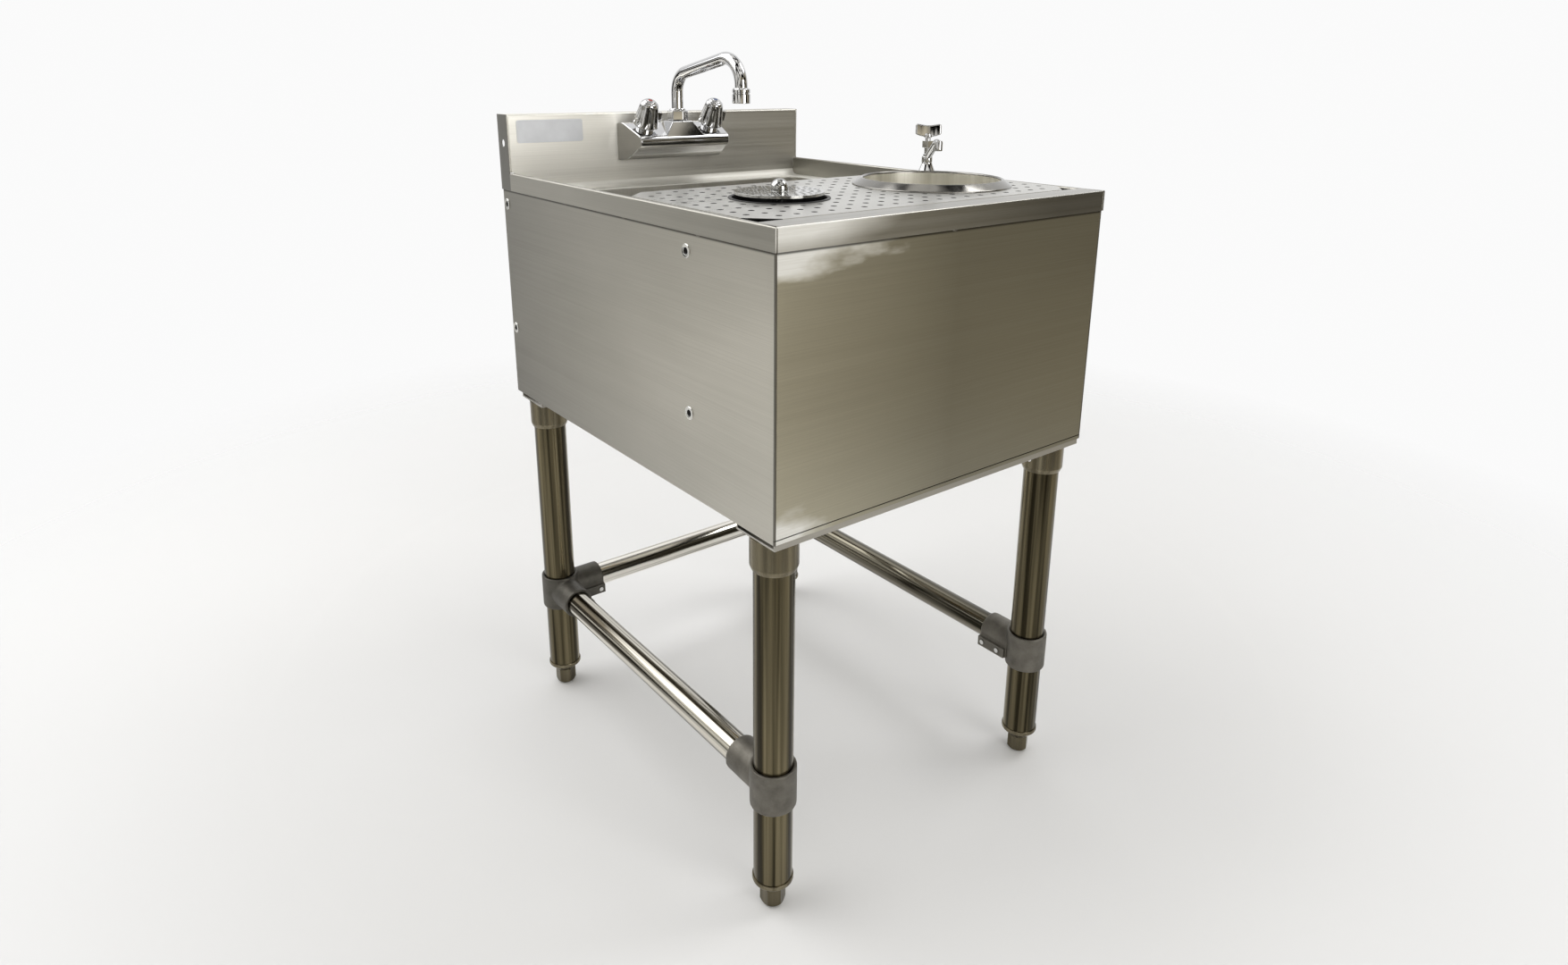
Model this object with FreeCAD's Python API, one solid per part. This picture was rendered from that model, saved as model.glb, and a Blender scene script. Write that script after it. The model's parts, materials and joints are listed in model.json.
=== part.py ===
import FreeCAD, Part
import math
import os
from FreeCAD import Vector

# A stainless bar station on four tube legs: a raised rim and backsplash round a sink, a lift-out
# perforated panel that carries a glass rinser and a dipper well with its own small tap, a wall
# faucet with two knobs and a swinging spout, three lower rails and screw-out feet.
# Millimetres. The origin is on the floor under the middle, X to the right, Y to the back, Z up.

# Whole station
width = 457.2
depth = 572.0
rim_height = 729.0
splash_rise = 71.0
apron_depth = 291.0
sheet = 1.2
overrun = 5.0
seat_clearance = 0.05
turning_clearance = 0.06
seam_gap = 0.4

# Rim, deck and backsplash
rim_rise = 25.0
hem_drop = 22.0
side_rim_width = 6.0
front_rim_width = 31.5
splash_depth = 28.0
splash_return = 16.0
deck_rear_flange = 24.0
end_hole_radius = 4.5
end_hole_inset = 14.0
end_hole_drop = 35.0
plate_length = 90.0
plate_height = 28.0
plate_thickness = 0.6
plate_side_inset = 12.5
plate_top_inset = 7.0

# Sink bowl and its drain
ledge_width = 24.6
ledge_front = 19.5
ledge_rear = 26.0
bowl_depth = 204.0
bowl_corner_radius = 25.0
deck_corner_radius = 15.0
bowl_floor_radius = 12.0
bowl_flange = 10.0
drain_setback = 160.0
drain_flange_radius = 42.0
drain_flange_thickness = 2.0
drain_throat_radius = 24.0
drain_throat_wall = 3.0
drain_throat_length = 60.0
drain_hole_gap = 0.4
drain_seat_step = 2.0
drain_seat_depth = 4.0
drain_nut_radius = 36.0
drain_nut_height = 12.0
strainer_thickness = 1.5
strainer_hole_radius = 2.2
strainer_ring_shares = (0.42, 0.76)
strainer_ring_counts = (6, 12)
tailpiece_radius = 19.05
tailpiece_wall = 1.2
tailpiece_length = 60.0
tailpiece_lip = 2.0
tailpiece_step = 0.2
coupling_radius = 29.0
coupling_height = 24.0

# Aprons, channels and threaded inserts
apron_sheet = 1.5
apron_lap = 8.0
apron_flange = 22.0
channel_drop = 7.0
channel_height = 26.0
channel_sheet = 2.0
insert_rear_inset = 11.0
insert_spacing = 421.0
insert_rise = 162.0
insert_top_drop = 40.0
insert_radius = 5.0
insert_flange_radius = 7.0
insert_flange_thickness = 0.9
insert_length = 12.0
insert_bore_radius = 3.4

# Legs, sockets, rails and feet
leg_radius = 20.65
leg_wall = 1.5
leg_side_inset = 25.6
leg_front_inset = 33.0
leg_rear_inset = 42.0
socket_radius = 24.15
socket_length = 35.0
socket_cap = 2.0
socket_lip_height = 5.0
socket_lip_radius = 22.4
set_screw_radius = 3.0
set_screw_stand = 1.0
set_screw_tip_gap = 0.3
socket_screw_rise = 17.0
rail_height = 150.0
rail_radius = 15.88
rail_wall = 1.5
collar_radius = 24.5
collar_height = 46.0
sleeve_radius = 20.0
sleeve_reach = 58.0
rail_start = 23.5
boss_start = 16.0
boss_out = 24.0
boss_in = 6.0
boss_top_drop = 4.0
boss_bottom_drop = 17.5
boss_screw_reaches = (27.0, 51.0)
boss_screw_drop = 10.5
foot_height = 22.0
foot_flats = 24.0
foot_chamfer = 4.0
foot_end_radius = 10.5
foot_stem_radius = 8.0
foot_stem_length = 48.0
foot_ring_radius = 21.8
foot_ring_height = 5.0
foot_taper_height = 9.0
foot_taper_radius = 13.4
foot_plug_height = 40.0

# Wall faucet
valve_spacing = 101.6
faucet_half_length = 76.0
faucet_end_slant = 7.0
faucet_bottom_rise = 9.0
faucet_top_rise = 58.0
faucet_top_depth = 13.0
faucet_slope_length = 36.0
faucet_lean = 24.0
faucet_nose_radius = 9.5
faucet_chin_depth = 20.0
faucet_chin_rise = 2.0
shank_radius = 10.4
shank_tail_radius = 10.0
shank_tail_length = 18.0
shank_rise = 33.0
shank_hole_gap = 0.5
locknut_radius = 17.0
locknut_thickness = 8.0
bonnet_radius = 12.0
bonnet_height = 4.0
valve_stem_radius = 5.0
valve_stem_length = 28.0
knob_gap = 0.8
knob_base_radius = 15.0
knob_top_radius = 11.5
knob_length = 33.0
knob_crown = 3.0
knob_flutes = 8
knob_flute_radius = 3.2
knob_flute_depth = 1.5
knob_tab_reach = 19.5
knob_tab_width = 6.0
knob_tab_rise = 12.0
knob_tab_height = 10.0
cap_radius = 8.6
cap_height = 2.2
spout_radius = 8.0
spout_wall = 1.2
spout_setback = 30.0
spout_reach = 147.0
spout_rise = 58.5
spout_climb = 10.5
spout_low_bend = 26.0
spout_high_bend = 33.0
spout_tip_drop = 14.5
spout_plug = 12.0
spout_boss_radius = 13.0
spout_boss_rise = 2.0
spout_nut_flats = 25.0
spout_nut_height = 16.0
aerator_radius = 11.3
aerator_height = 18.0
aerator_bore_radius = 8.6
aerator_screen = 3.0

# Lift-out perforated panel
panel_gap = 1.0
panel_depth = 244.0
panel_notch = 26.0
panel_hole_radius = 3.2
panel_hole_pitch = 20.6
panel_hole_margin = 12.0
panel_hole_land = 1.5

# Glass rinser in the panel
rinser_side_share = 0.47383
rinser_front_offset = 122.0
rinser_hole_radius = 50.5
rinser_flange_radius = 52.5
rinser_flange_height = 0.9
rinser_wall = 1.2
rinser_depth = 24.0
rinser_floor = 2.0
rinser_drain_radius = 4.0
rinser_drain_count = 8
rinser_drain_share = 0.66
rinser_nut_radius = 58.0
rinser_nut_height = 6.0
rinser_neck_radius = 9.0
rinser_neck_rise = 5.0
rinser_valve_radius = 14.0
rinser_valve_length = 38.0
rinser_inlet_radius = 10.2
rinser_inlet_length = 18.0
rinser_disc_radius = 48.4
rinser_disc_lift = 4.0
rinser_disc_thickness = 3.0
rinser_travel = 6.0
rinser_hub_radius = 7.5
rinser_hub_length = 6.0
rinser_stem_radius = 5.0
rinser_stem_length = 40.0
rinser_ball_radius = 10.0
rinser_ball_rise = 2.5
rinser_slot_radius = 2.5
rinser_ring_shares = (0.36, 0.54, 0.72, 0.88)
rinser_ring_counts = (10, 16, 22, 28)
spring_wire_radius = 0.7
spring_radius = 6.2

# Dipper well in the panel
well_side_share = 0.52347
well_rim_radius = 91.0
well_rim_edge = 1.2
well_rim_height = 8.0
well_radius = 78.5
well_lip = 2.0
well_depth = 118.0
well_floor_radius = 30.0
well_wall = 1.2
well_hole_gap = 0.6
well_drain_radius = 14.0
overflow_radius = 11.0
overflow_wall = 1.2
overflow_height = 70.0
overflow_collar = 3.0
overflow_plug = 12.0

# Small tap beside the well
tap_side_offset = 74.0
tap_rear_inset = 43.0
tap_base_radius = 12.0
tap_base_edge = 2.0
tap_base_height = 13.0
tap_waist_radius = 4.4
tap_collar_radius = 7.0
tap_collar_height = 10.0
tap_arm_share = 0.3
tap_waist_height = 3.0
tap_head_radius = 6.0
tap_head_height = 8.0
tap_shank_radius = 6.0
tap_shank_length = 26.0
tap_tail_radius = 5.5
tap_tail_length = 16.0
tap_nut_radius = 11.5
tap_nut_height = 6.0
packing_nut_flats = 9.5
packing_nut_height = 8.0
tap_stem_radius = 3.0
tap_handle_gap = 5.0
tap_handle_half_span = 16.0
tap_handle_rest_turn = -40.0
tap_handle_height = 16.0
tap_handle_thickness = 6.0
tap_handle_waist = 8.0
tap_handle_scoop = 11.0
tap_spout_radius = 4.0
tap_spout_reach = 31.0
tap_spout_rise = 22.0
tap_nozzle_radius = 4.6
tap_nozzle_length = 15.0
tap_spout_aim = 21.0

# Places worked out from the sizes above
half_width = width / 2
front_y = -depth / 2
rear_y = depth / 2
splash_y = rear_y - splash_depth
inner_x = half_width - side_rim_width
inner_front_y = front_y + front_rim_width
splash_height = rim_height + splash_rise
apron_bottom = rim_height - apron_depth
hem_z = rim_height - hem_drop
deck_z = rim_height - rim_rise
skin_x = half_width - sheet
skin_y = front_y + sheet
apron_top = hem_z + apron_lap
apron_inner_x = skin_x - apron_sheet
apron_inner_y = skin_y + apron_sheet
bowl_x = inner_x - ledge_width
bowl_front_y = inner_front_y + ledge_front
bowl_rear_y = splash_y - ledge_rear
bowl_floor_z = deck_z - bowl_depth
drain_y = splash_y - drain_setback
throat_z = bowl_floor_z - drain_throat_length
leg_x = half_width - leg_side_inset
leg_front_y = front_y + leg_front_inset
leg_rear_y = rear_y - leg_rear_inset
channel_z = apron_bottom - channel_drop
channel_half = leg_front_y - apron_inner_y
socket_z = channel_z - socket_length
leg_top_z = channel_z - socket_cap
ring_z = foot_height + foot_taper_height
leg_bottom_z = ring_z + foot_ring_height
leg_places = {
    "fl": (-leg_x, leg_front_y),
    "fr": (leg_x, leg_front_y),
    "rl": (-leg_x, leg_rear_y),
    "rr": (leg_x, leg_rear_y),
}
panel_x = inner_x - panel_gap
panel_front_y = inner_front_y + panel_gap
panel_rear_y = panel_front_y + panel_depth
panel_z = rim_height - sheet
rinser_place = (-rinser_side_share * panel_x, panel_front_y + rinser_front_offset)
well_place = (well_side_share * panel_x, panel_front_y + rinser_front_offset)
tap_place = (well_place[0] + tap_side_offset, panel_rear_y - tap_rear_inset)
valve_x = valve_spacing / 2
spout_y = splash_y - spout_setback
faucet_bottom = rim_height + faucet_bottom_rise
faucet_top = rim_height + faucet_top_rise
shank_height = rim_height + shank_rise
lean = math.radians(faucet_lean)
slope_start_y = splash_y - faucet_top_depth
slope_end_y = slope_start_y - faucet_slope_length * math.cos(lean)
slope_end_z = faucet_top - faucet_slope_length * math.sin(lean)
valve_y = (slope_start_y + slope_end_y) / 2
valve_z = (faucet_top + slope_end_z) / 2
valve_axis = Vector(0, -math.sin(lean), math.cos(lean))
spout_nut_z = faucet_top + spout_boss_rise
spout_shoulder = spout_nut_z + spout_rise
spout_end_height = spout_shoulder - spout_tip_drop
up = Vector(0, 0, 1)
down = Vector(0, 0, -1)


def block(x0, x1, y0, y1, z0, z1):
    return Part.makeBox(x1 - x0, y1 - y0, z1 - z0, Vector(x0, y0, z0))


def rod(radius, start, direction, length):
    return Part.makeCylinder(radius, length, start, direction)


def pipe(outer, inner, start, direction, length):
    return rod(outer, start, direction, length).cut(rod(inner, start, direction, length))


def turned(outline, place):
    """A solid of revolution about the upright line at place, from (radius, height) corners."""
    corners = [Vector(radius, 0, height) for radius, height in outline]
    face = Part.Face(Part.makePolygon(corners + corners[:1]))
    solid = face.revolve(Vector(0, 0, 0), up, math.degrees(2 * math.pi))
    solid.translate(Vector(place[0], place[1], 0))
    return solid


def prism(sides, flats, start, direction, length):
    """A regular prism measured across its flats, along direction."""
    corner = flats / 2 / math.cos(math.pi / sides)
    turns = [2 * math.pi * i / sides + math.pi / sides for i in range(sides)]
    points = [Vector(corner * math.cos(turn), corner * math.sin(turn), 0) for turn in turns]
    solid = Part.Face(Part.makePolygon(points + points[:1])).extrude(up * length)
    solid.Placement = FreeCAD.Placement(start, FreeCAD.Rotation(up, direction))
    return solid


def rounded_tray(grow, z0, z1, corner, floor):
    """The sink opening grown by a margin, with round upright corners and a round floor edge."""
    tray = block(-bowl_x - grow, bowl_x + grow, bowl_front_y - grow, bowl_rear_y + grow, z0, z1)
    upright = [edge for edge in tray.Edges if abs(edge.tangentAt(edge.FirstParameter).z) > abs(
        edge.tangentAt(edge.FirstParameter).x) + abs(edge.tangentAt(edge.FirstParameter).y)]
    tray = tray.makeFillet(corner, upright)
    if floor:
        low = [edge for edge in tray.Edges if edge.BoundBox.ZMax < (z0 + z1) / 2]
        tray = tray.makeFillet(floor, low)
    return tray


def join(first, *others):
    return first.multiFuse(list(others)).removeSplitter()


def save(name, shape):
    print(name, "solids", len(shape.Solids), "valid", shape.isValid(), "volume", round(shape.Volume))
    shape.exportStep("parts/" + name + ".step")


def group(shapes):
    return Part.makeCompound(shapes)


def both_sides(shape):
    return shape.mirror(Vector(0, 0, 0), Vector(1, 0, 0))


# Top: rim, deck and backsplash
def top_sheet():
    skirt = block(-half_width, half_width, front_y, splash_y, hem_z, rim_height)
    under = block(-skin_x, skin_x, skin_y, splash_y + overrun, hem_z - overrun, rim_height - sheet)
    skirt = skirt.cut(under)
    wall_x = inner_x + sheet
    pan = block(-wall_x, wall_x, inner_front_y - sheet, splash_y, deck_z - sheet, rim_height)
    space = block(-inner_x, inner_x, inner_front_y, splash_y + overrun, deck_z, rim_height + overrun)
    rear_deck = block(-wall_x, wall_x, splash_y, rear_y, deck_z - sheet, deck_z)
    rear_flange = block(-wall_x, wall_x, rear_y - sheet, rear_y, deck_z - deck_rear_flange, deck_z)
    opening = rounded_tray(0, deck_z - sheet - overrun, deck_z + overrun, deck_corner_radius, 0)
    return join(skirt, pan, rear_deck, rear_flange).cut(space).cut(opening)


def backsplash():
    front = block(-skin_x, skin_x, splash_y, splash_y + sheet, deck_z, splash_height)
    top = block(-skin_x, skin_x, splash_y, rear_y, splash_height - sheet, splash_height)
    back = block(-skin_x, skin_x, rear_y - sheet, rear_y, splash_height - splash_return, splash_height)
    shape = join(front, top, back)
    for side in (-1, 1):
        low, high = sorted((side * inner_x, side * (skin_x + overrun)))
        notch_top = apron_top + seam_gap
        shape = shape.cut(block(low, high, splash_y - overrun, rear_y, deck_z - overrun, notch_top))
        hole = rod(shank_radius + shank_hole_gap, Vector(side * valve_x, splash_y - overrun, shank_height),
                   Vector(0, 1, 0), splash_depth)
        shape = shape.cut(hole)
    return shape


def backsplash_end():
    end = block(-half_width, -skin_x, splash_y, rear_y, hem_z, splash_height)
    centre = Vector(-half_width - overrun, rear_y - end_hole_inset, splash_height - end_hole_drop)
    return end.cut(rod(end_hole_radius, centre, Vector(1, 0, 0), sheet + overrun + overrun))


def rating_plate():
    x0 = -half_width + plate_side_inset
    z1 = splash_height - plate_top_inset
    return block(x0, x0 + plate_length, splash_y - plate_thickness, splash_y, z1 - plate_height, z1)


# Sink bowl and drain
def sink_bowl():
    top = deck_z - sheet
    inside = rounded_tray(0, bowl_floor_z, top + overrun, bowl_corner_radius, bowl_floor_radius)
    outside = rounded_tray(sheet, bowl_floor_z - sheet, top, bowl_corner_radius + sheet,
                           bowl_floor_radius + sheet)
    flange = rounded_tray(bowl_flange, top - sheet, top, bowl_corner_radius + bowl_flange, 0)
    hole = rod(drain_throat_radius + drain_hole_gap, Vector(0, drain_y, bowl_floor_z - sheet - overrun), up,
               sheet + overrun + overrun)
    return join(outside, flange).cut(inside).cut(hole)


def drain_flange():
    bore = drain_throat_radius - drain_throat_wall
    seat = bowl_floor_z - drain_seat_depth
    return turned([
        (bore, seat), (bore, bowl_floor_z + drain_flange_thickness / 2),
        (bore + drain_flange_thickness, bowl_floor_z + drain_flange_thickness),
        (drain_flange_radius - drain_flange_thickness, bowl_floor_z + drain_flange_thickness),
        (drain_flange_radius, bowl_floor_z), (drain_throat_radius, bowl_floor_z),
        (drain_throat_radius, throat_z), (bore - drain_seat_step, throat_z),
        (bore - drain_seat_step, seat)], (0, drain_y))


def drain_strainer():
    radius = drain_throat_radius - drain_throat_wall - seat_clearance
    base = bowl_floor_z - drain_seat_depth
    disc = rod(radius, Vector(0, drain_y, base), up, strainer_thickness)
    for share, count in zip(strainer_ring_shares, strainer_ring_counts):
        for turn in range(count):
            angle = 2 * math.pi * turn / count
            spot = Vector(share * radius * math.cos(angle), drain_y + share * radius * math.sin(angle),
                          base - overrun)
            disc = disc.cut(rod(strainer_hole_radius, spot, up, strainer_thickness + overrun + overrun))
    return disc


def drain_locknut():
    top = bowl_floor_z - sheet
    nut = prism(8, 2 * drain_nut_radius, Vector(0, drain_y, top - drain_nut_height), up, drain_nut_height)
    bore = rod(drain_throat_radius + seat_clearance, Vector(0, drain_y, top - drain_nut_height), up,
               drain_nut_height)
    return nut.cut(bore)


def drain_tailpiece():
    inner = tailpiece_radius - tailpiece_wall
    neck = tailpiece_radius + tailpiece_step
    neck_z = throat_z - coupling_height / 2
    return turned([
        (inner, throat_z), (drain_throat_radius, throat_z), (drain_throat_radius, throat_z - tailpiece_lip),
        (neck, throat_z - tailpiece_lip), (neck, neck_z), (tailpiece_radius, neck_z),
        (tailpiece_radius, throat_z - tailpiece_length), (inner, throat_z - tailpiece_length)], (0, drain_y))


def drain_coupling():
    low = throat_z - coupling_height / 2
    lip = throat_z - tailpiece_lip
    bore = drain_throat_radius + seat_clearance
    neck = tailpiece_radius + tailpiece_step + seat_clearance
    return turned([
        (bore, throat_z + coupling_height / 2), (coupling_radius, throat_z + coupling_height / 2),
        (coupling_radius, low), (neck, low), (neck, lip), (bore, lip)], (0, drain_y))


# Aprons, channels and inserts
def insert_places():
    rear = rear_y - insert_rear_inset
    high = rim_height - insert_top_drop
    return [(y, z) for y in (rear, rear - insert_spacing) for z in (high, high - insert_rise)]


def side_apron():
    wall = block(-skin_x, -apron_inner_x, skin_y, rear_y - sheet, apron_bottom, apron_top)
    lip = block(-skin_x, -skin_x + apron_flange, leg_front_y + channel_half + seam_gap,
                leg_rear_y - channel_half - seam_gap, apron_bottom, apron_bottom + apron_sheet)
    shape = join(wall, lip)
    for y, z in insert_places():
        hole = rod(insert_radius + seat_clearance, Vector(-half_width, y, z), Vector(1, 0, 0), insert_length)
        shape = shape.cut(hole)
    return shape


def front_apron():
    reach = apron_inner_x - seam_gap
    return block(-reach, reach, skin_y, apron_inner_y, apron_bottom, apron_top)


def leg_channel(centre_y):
    y0 = centre_y - channel_half
    y1 = centre_y + channel_half
    outer = block(-apron_inner_x, apron_inner_x, y0, y1, channel_z, channel_z + channel_height)
    inner = block(-apron_inner_x - overrun, apron_inner_x + overrun, y0 + channel_sheet, y1 - channel_sheet,
                  channel_z + channel_sheet, channel_z + channel_height + overrun)
    return outer.cut(inner)


def threaded_inserts():
    inserts = []
    for y, z in insert_places():
        face = Vector(-skin_x - insert_flange_thickness, y, z)
        flange = rod(insert_flange_radius, face, Vector(1, 0, 0), insert_flange_thickness)
        barrel = rod(insert_radius, face, Vector(1, 0, 0), insert_length)
        bore = rod(insert_bore_radius, face, Vector(1, 0, 0), insert_length)
        left = flange.fuse(barrel).removeSplitter().cut(bore)
        inserts.append(left)
        inserts.append(both_sides(left))
    return group(inserts)


# Legs, sockets, rails and feet
def leg_sockets():
    bore = leg_radius + seat_clearance
    sockets = []
    for x, y in leg_places.values():
        socket = turned([
            (bore, socket_z), (socket_lip_radius, socket_z), (socket_radius, socket_z + socket_lip_height),
            (socket_radius, channel_z), (0, channel_z), (0, leg_top_z), (bore, leg_top_z)], (x, y))
        inward = Vector(-math.copysign(1, x), 0, 0)
        spot = Vector(x, y, socket_z + socket_screw_rise)
        hole = rod(set_screw_radius + seat_clearance, spot, inward, socket_radius + overrun)
        sockets.append(socket.cut(hole))
    return group(sockets)


def socket_set_screws():
    screws = []
    for x, y in leg_places.values():
        inward = Vector(-math.copysign(1, x), 0, 0)
        tip = leg_radius + set_screw_tip_gap
        start = Vector(x, y, socket_z + socket_screw_rise) + inward * tip
        screws.append(rod(set_screw_radius, start, inward, socket_radius + set_screw_stand - tip))
    return group(screws)


def leg(place):
    start = Vector(place[0], place[1], leg_bottom_z)
    return pipe(leg_radius, leg_radius - leg_wall, start, up, leg_top_z - leg_bottom_z)


def fitting_arms(name):
    """Each arm of a leg's fitting: the way its rail runs and the inward side of its boss."""
    x_in = Vector(1, 0, 0) if name[1] == "l" else Vector(-1, 0, 0)
    y_in = Vector(0, 1, 0) if name[0] == "f" else Vector(0, -1, 0)
    arms = [(y_in, x_in)]
    if name[0] == "r":
        arms.append((x_in, y_in))
    return arms


def arm_screws(name, radius, start_reach, end_reach):
    """The set screws of a fitting, or their holes, along each boss."""
    x, y = leg_places[name]
    screws = []
    for along, side in fitting_arms(name):
        for reach in boss_screw_reaches:
            spot = Vector(x, y, rail_height - boss_screw_drop) + along * reach
            screws.append(rod(radius, spot + side * start_reach, side, end_reach - start_reach))
    return screws


def fitting(name):
    x, y = leg_places[name]
    centre = Vector(x, y, rail_height)
    bottom = Vector(x, y, rail_height - collar_height / 2)
    pieces = []
    bores = [rod(leg_radius + seat_clearance, bottom, up, collar_height)]
    for along, side in fitting_arms(name):
        pieces.append(rod(sleeve_radius, centre, along, sleeve_reach))
        near = centre + along * boss_start + side * boss_in
        far = centre + along * sleeve_reach + side * boss_out
        low_x, high_x = sorted((near.x, far.x))
        low_y, high_y = sorted((near.y, far.y))
        pieces.append(block(low_x, high_x, low_y, high_y, rail_height - boss_bottom_drop,
                            rail_height - boss_top_drop))
        start = centre + along * (rail_start - seam_gap)
        bores.append(rod(rail_radius + seat_clearance, start, along, sleeve_reach))
    bores += arm_screws(name, set_screw_radius + seat_clearance, 0, boss_out + overrun)
    return join(rod(collar_radius, bottom, up, collar_height), *pieces).cut(bores)


def fitting_set_screws():
    tip = math.sqrt(rail_radius ** 2 - (boss_screw_drop - set_screw_radius) ** 2) + set_screw_tip_gap
    screws = []
    for name in leg_places:
        screws += arm_screws(name, set_screw_radius, tip, boss_out + set_screw_stand)
    return group(screws)


def side_rail():
    start = Vector(-leg_x, leg_front_y + rail_start, rail_height)
    length = leg_rear_y - leg_front_y - rail_start - rail_start
    return pipe(rail_radius, rail_radius - rail_wall, start, Vector(0, 1, 0), length)


def rear_rail():
    start = Vector(-leg_x + rail_start, leg_rear_y, rail_height)
    length = leg_x + leg_x - rail_start - rail_start
    return pipe(rail_radius, rail_radius - rail_wall, start, Vector(1, 0, 0), length)


def foot_sockets():
    bore = foot_stem_radius + turning_clearance
    plug = leg_radius - leg_wall - seat_clearance
    return group([turned([
        (bore, foot_height), (foot_taper_radius, foot_height), (foot_ring_radius, ring_z),
        (foot_ring_radius, leg_bottom_z), (plug, leg_bottom_z), (plug, leg_bottom_z + foot_plug_height),
        (bore, leg_bottom_z + foot_plug_height)], place) for place in leg_places.values()])


def foot(place):
    base = Vector(place[0], place[1], 0)
    stub = prism(6, foot_flats, base, up, foot_height)
    corner = foot_flats / 2 / math.cos(math.pi / 6)
    bevel = turned([
        (0, 0), (foot_end_radius, 0), (corner, foot_chamfer), (corner, foot_height),
        (0, foot_height)], place)
    stem = rod(foot_stem_radius, base + up * foot_height, up, foot_stem_length)
    return join(stub.common(bevel), stem)


# Wall faucet
def faucet_profile():
    nose_y = slope_end_y + faucet_nose_radius * math.sin(lean)
    nose_z = slope_end_z - faucet_nose_radius * math.cos(lean)
    nose_low = Vector(0, nose_y, nose_z - faucet_nose_radius)
    nose_mid = Vector(0, nose_y - faucet_nose_radius, nose_z)
    nose_high = Vector(0, slope_end_y, slope_end_z)
    chin = Vector(0, splash_y - faucet_chin_depth, faucet_bottom + faucet_chin_rise)
    foot_line = [Vector(0, splash_y, faucet_bottom), Vector(0, splash_y, faucet_top),
                 Vector(0, slope_start_y, faucet_top), nose_high]
    edges = [Part.makeLine(a, b) for a, b in zip(foot_line, foot_line[1:])]
    edges.append(Part.Arc(nose_high, nose_mid, nose_low).toShape())
    edges.append(Part.makeLine(nose_low, chin))
    edges.append(Part.makeLine(chin, foot_line[0]))
    return Part.Wire(edges)


def faucet_body():
    face = Part.Face(faucet_profile())
    bar = face.extrude(Vector(2 * faucet_half_length, 0, 0))
    bar.translate(Vector(-faucet_half_length, 0, 0))
    nose = slope_end_y - faucet_nose_radius
    front_half = faucet_half_length - faucet_end_slant
    corners = [(-faucet_half_length, splash_y), (faucet_half_length, splash_y), (front_half, nose),
               (-front_half, nose)]
    outline = [Vector(x, y, faucet_bottom) for x, y in corners]
    plan = Part.Face(Part.makePolygon(outline + outline[:1])).extrude(up * (faucet_top - faucet_bottom))
    body = bar.common(plan)
    boss = rod(spout_boss_radius, Vector(0, spout_y, shank_height), up, spout_nut_z - shank_height)
    pieces = [boss]
    for side in (-1, 1):
        root = Vector(side * valve_x, splash_y - overrun, shank_height)
        length = splash_depth + overrun
        pieces.append(rod(shank_radius, root, Vector(0, 1, 0), length - shank_tail_length))
        pieces.append(rod(shank_tail_radius, root, Vector(0, 1, 0), length))
    body = join(body, *pieces)
    bore = rod(spout_radius + turning_clearance, Vector(0, spout_y, spout_nut_z - spout_plug), up,
               spout_plug + overrun)
    return body.cut(bore)


def faucet_locknuts():
    nuts = []
    for side in (-1, 1):
        start = Vector(side * valve_x, splash_y + sheet, shank_height)
        nut = prism(6, 2 * locknut_radius, start, Vector(0, 1, 0), locknut_thickness)
        nuts.append(nut.cut(rod(shank_radius + seat_clearance, start, Vector(0, 1, 0), locknut_thickness)))
    return group(nuts)


def valve_base(side):
    return Vector(side * valve_x, valve_y, valve_z)


def valve_bonnet(side):
    base = valve_base(side)
    return join(rod(bonnet_radius, base, valve_axis, bonnet_height),
                rod(valve_stem_radius, base, valve_axis, valve_stem_length))


def knob(side):
    """A tapered knob with flutes and a pointer tab, first made upright, then leaned forward."""
    low = bonnet_height + knob_gap
    high = low + knob_length
    shell = turned([
        (0, low), (knob_base_radius, low), (knob_top_radius, high - knob_crown),
        (cap_radius, high), (0, high)], (0, 0))
    taper = math.atan2(knob_base_radius - knob_top_radius, knob_length)
    flutes = []
    for turn in range(knob_flutes):
        angle = 2 * math.pi * (turn + 1 / 2) / knob_flutes
        outward = Vector(math.cos(angle), math.sin(angle), 0)
        offset = knob_base_radius + knob_flute_radius - knob_flute_depth
        climb = outward * -math.sin(taper) + up * math.cos(taper)
        flutes.append(rod(knob_flute_radius, outward * offset + up * (low + bonnet_height), climb,
                          knob_length + overrun))
    tab = block(0, knob_tab_reach, -knob_tab_width / 2, knob_tab_width / 2, low + knob_tab_rise,
                low + knob_tab_rise + knob_tab_height)
    shell = join(shell.cut(flutes), tab)
    bore_depth = valve_stem_length - low + knob_gap
    shell = shell.cut(rod(valve_stem_radius + turning_clearance, up * low, up, bore_depth))
    shell.Placement = FreeCAD.Placement(valve_base(side), FreeCAD.Rotation(up, valve_axis))
    return shell


def index_cap(side):
    start = valve_base(side) + valve_axis * (bonnet_height + knob_gap + knob_length)
    return rod(cap_radius, start, valve_axis, cap_height)


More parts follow.
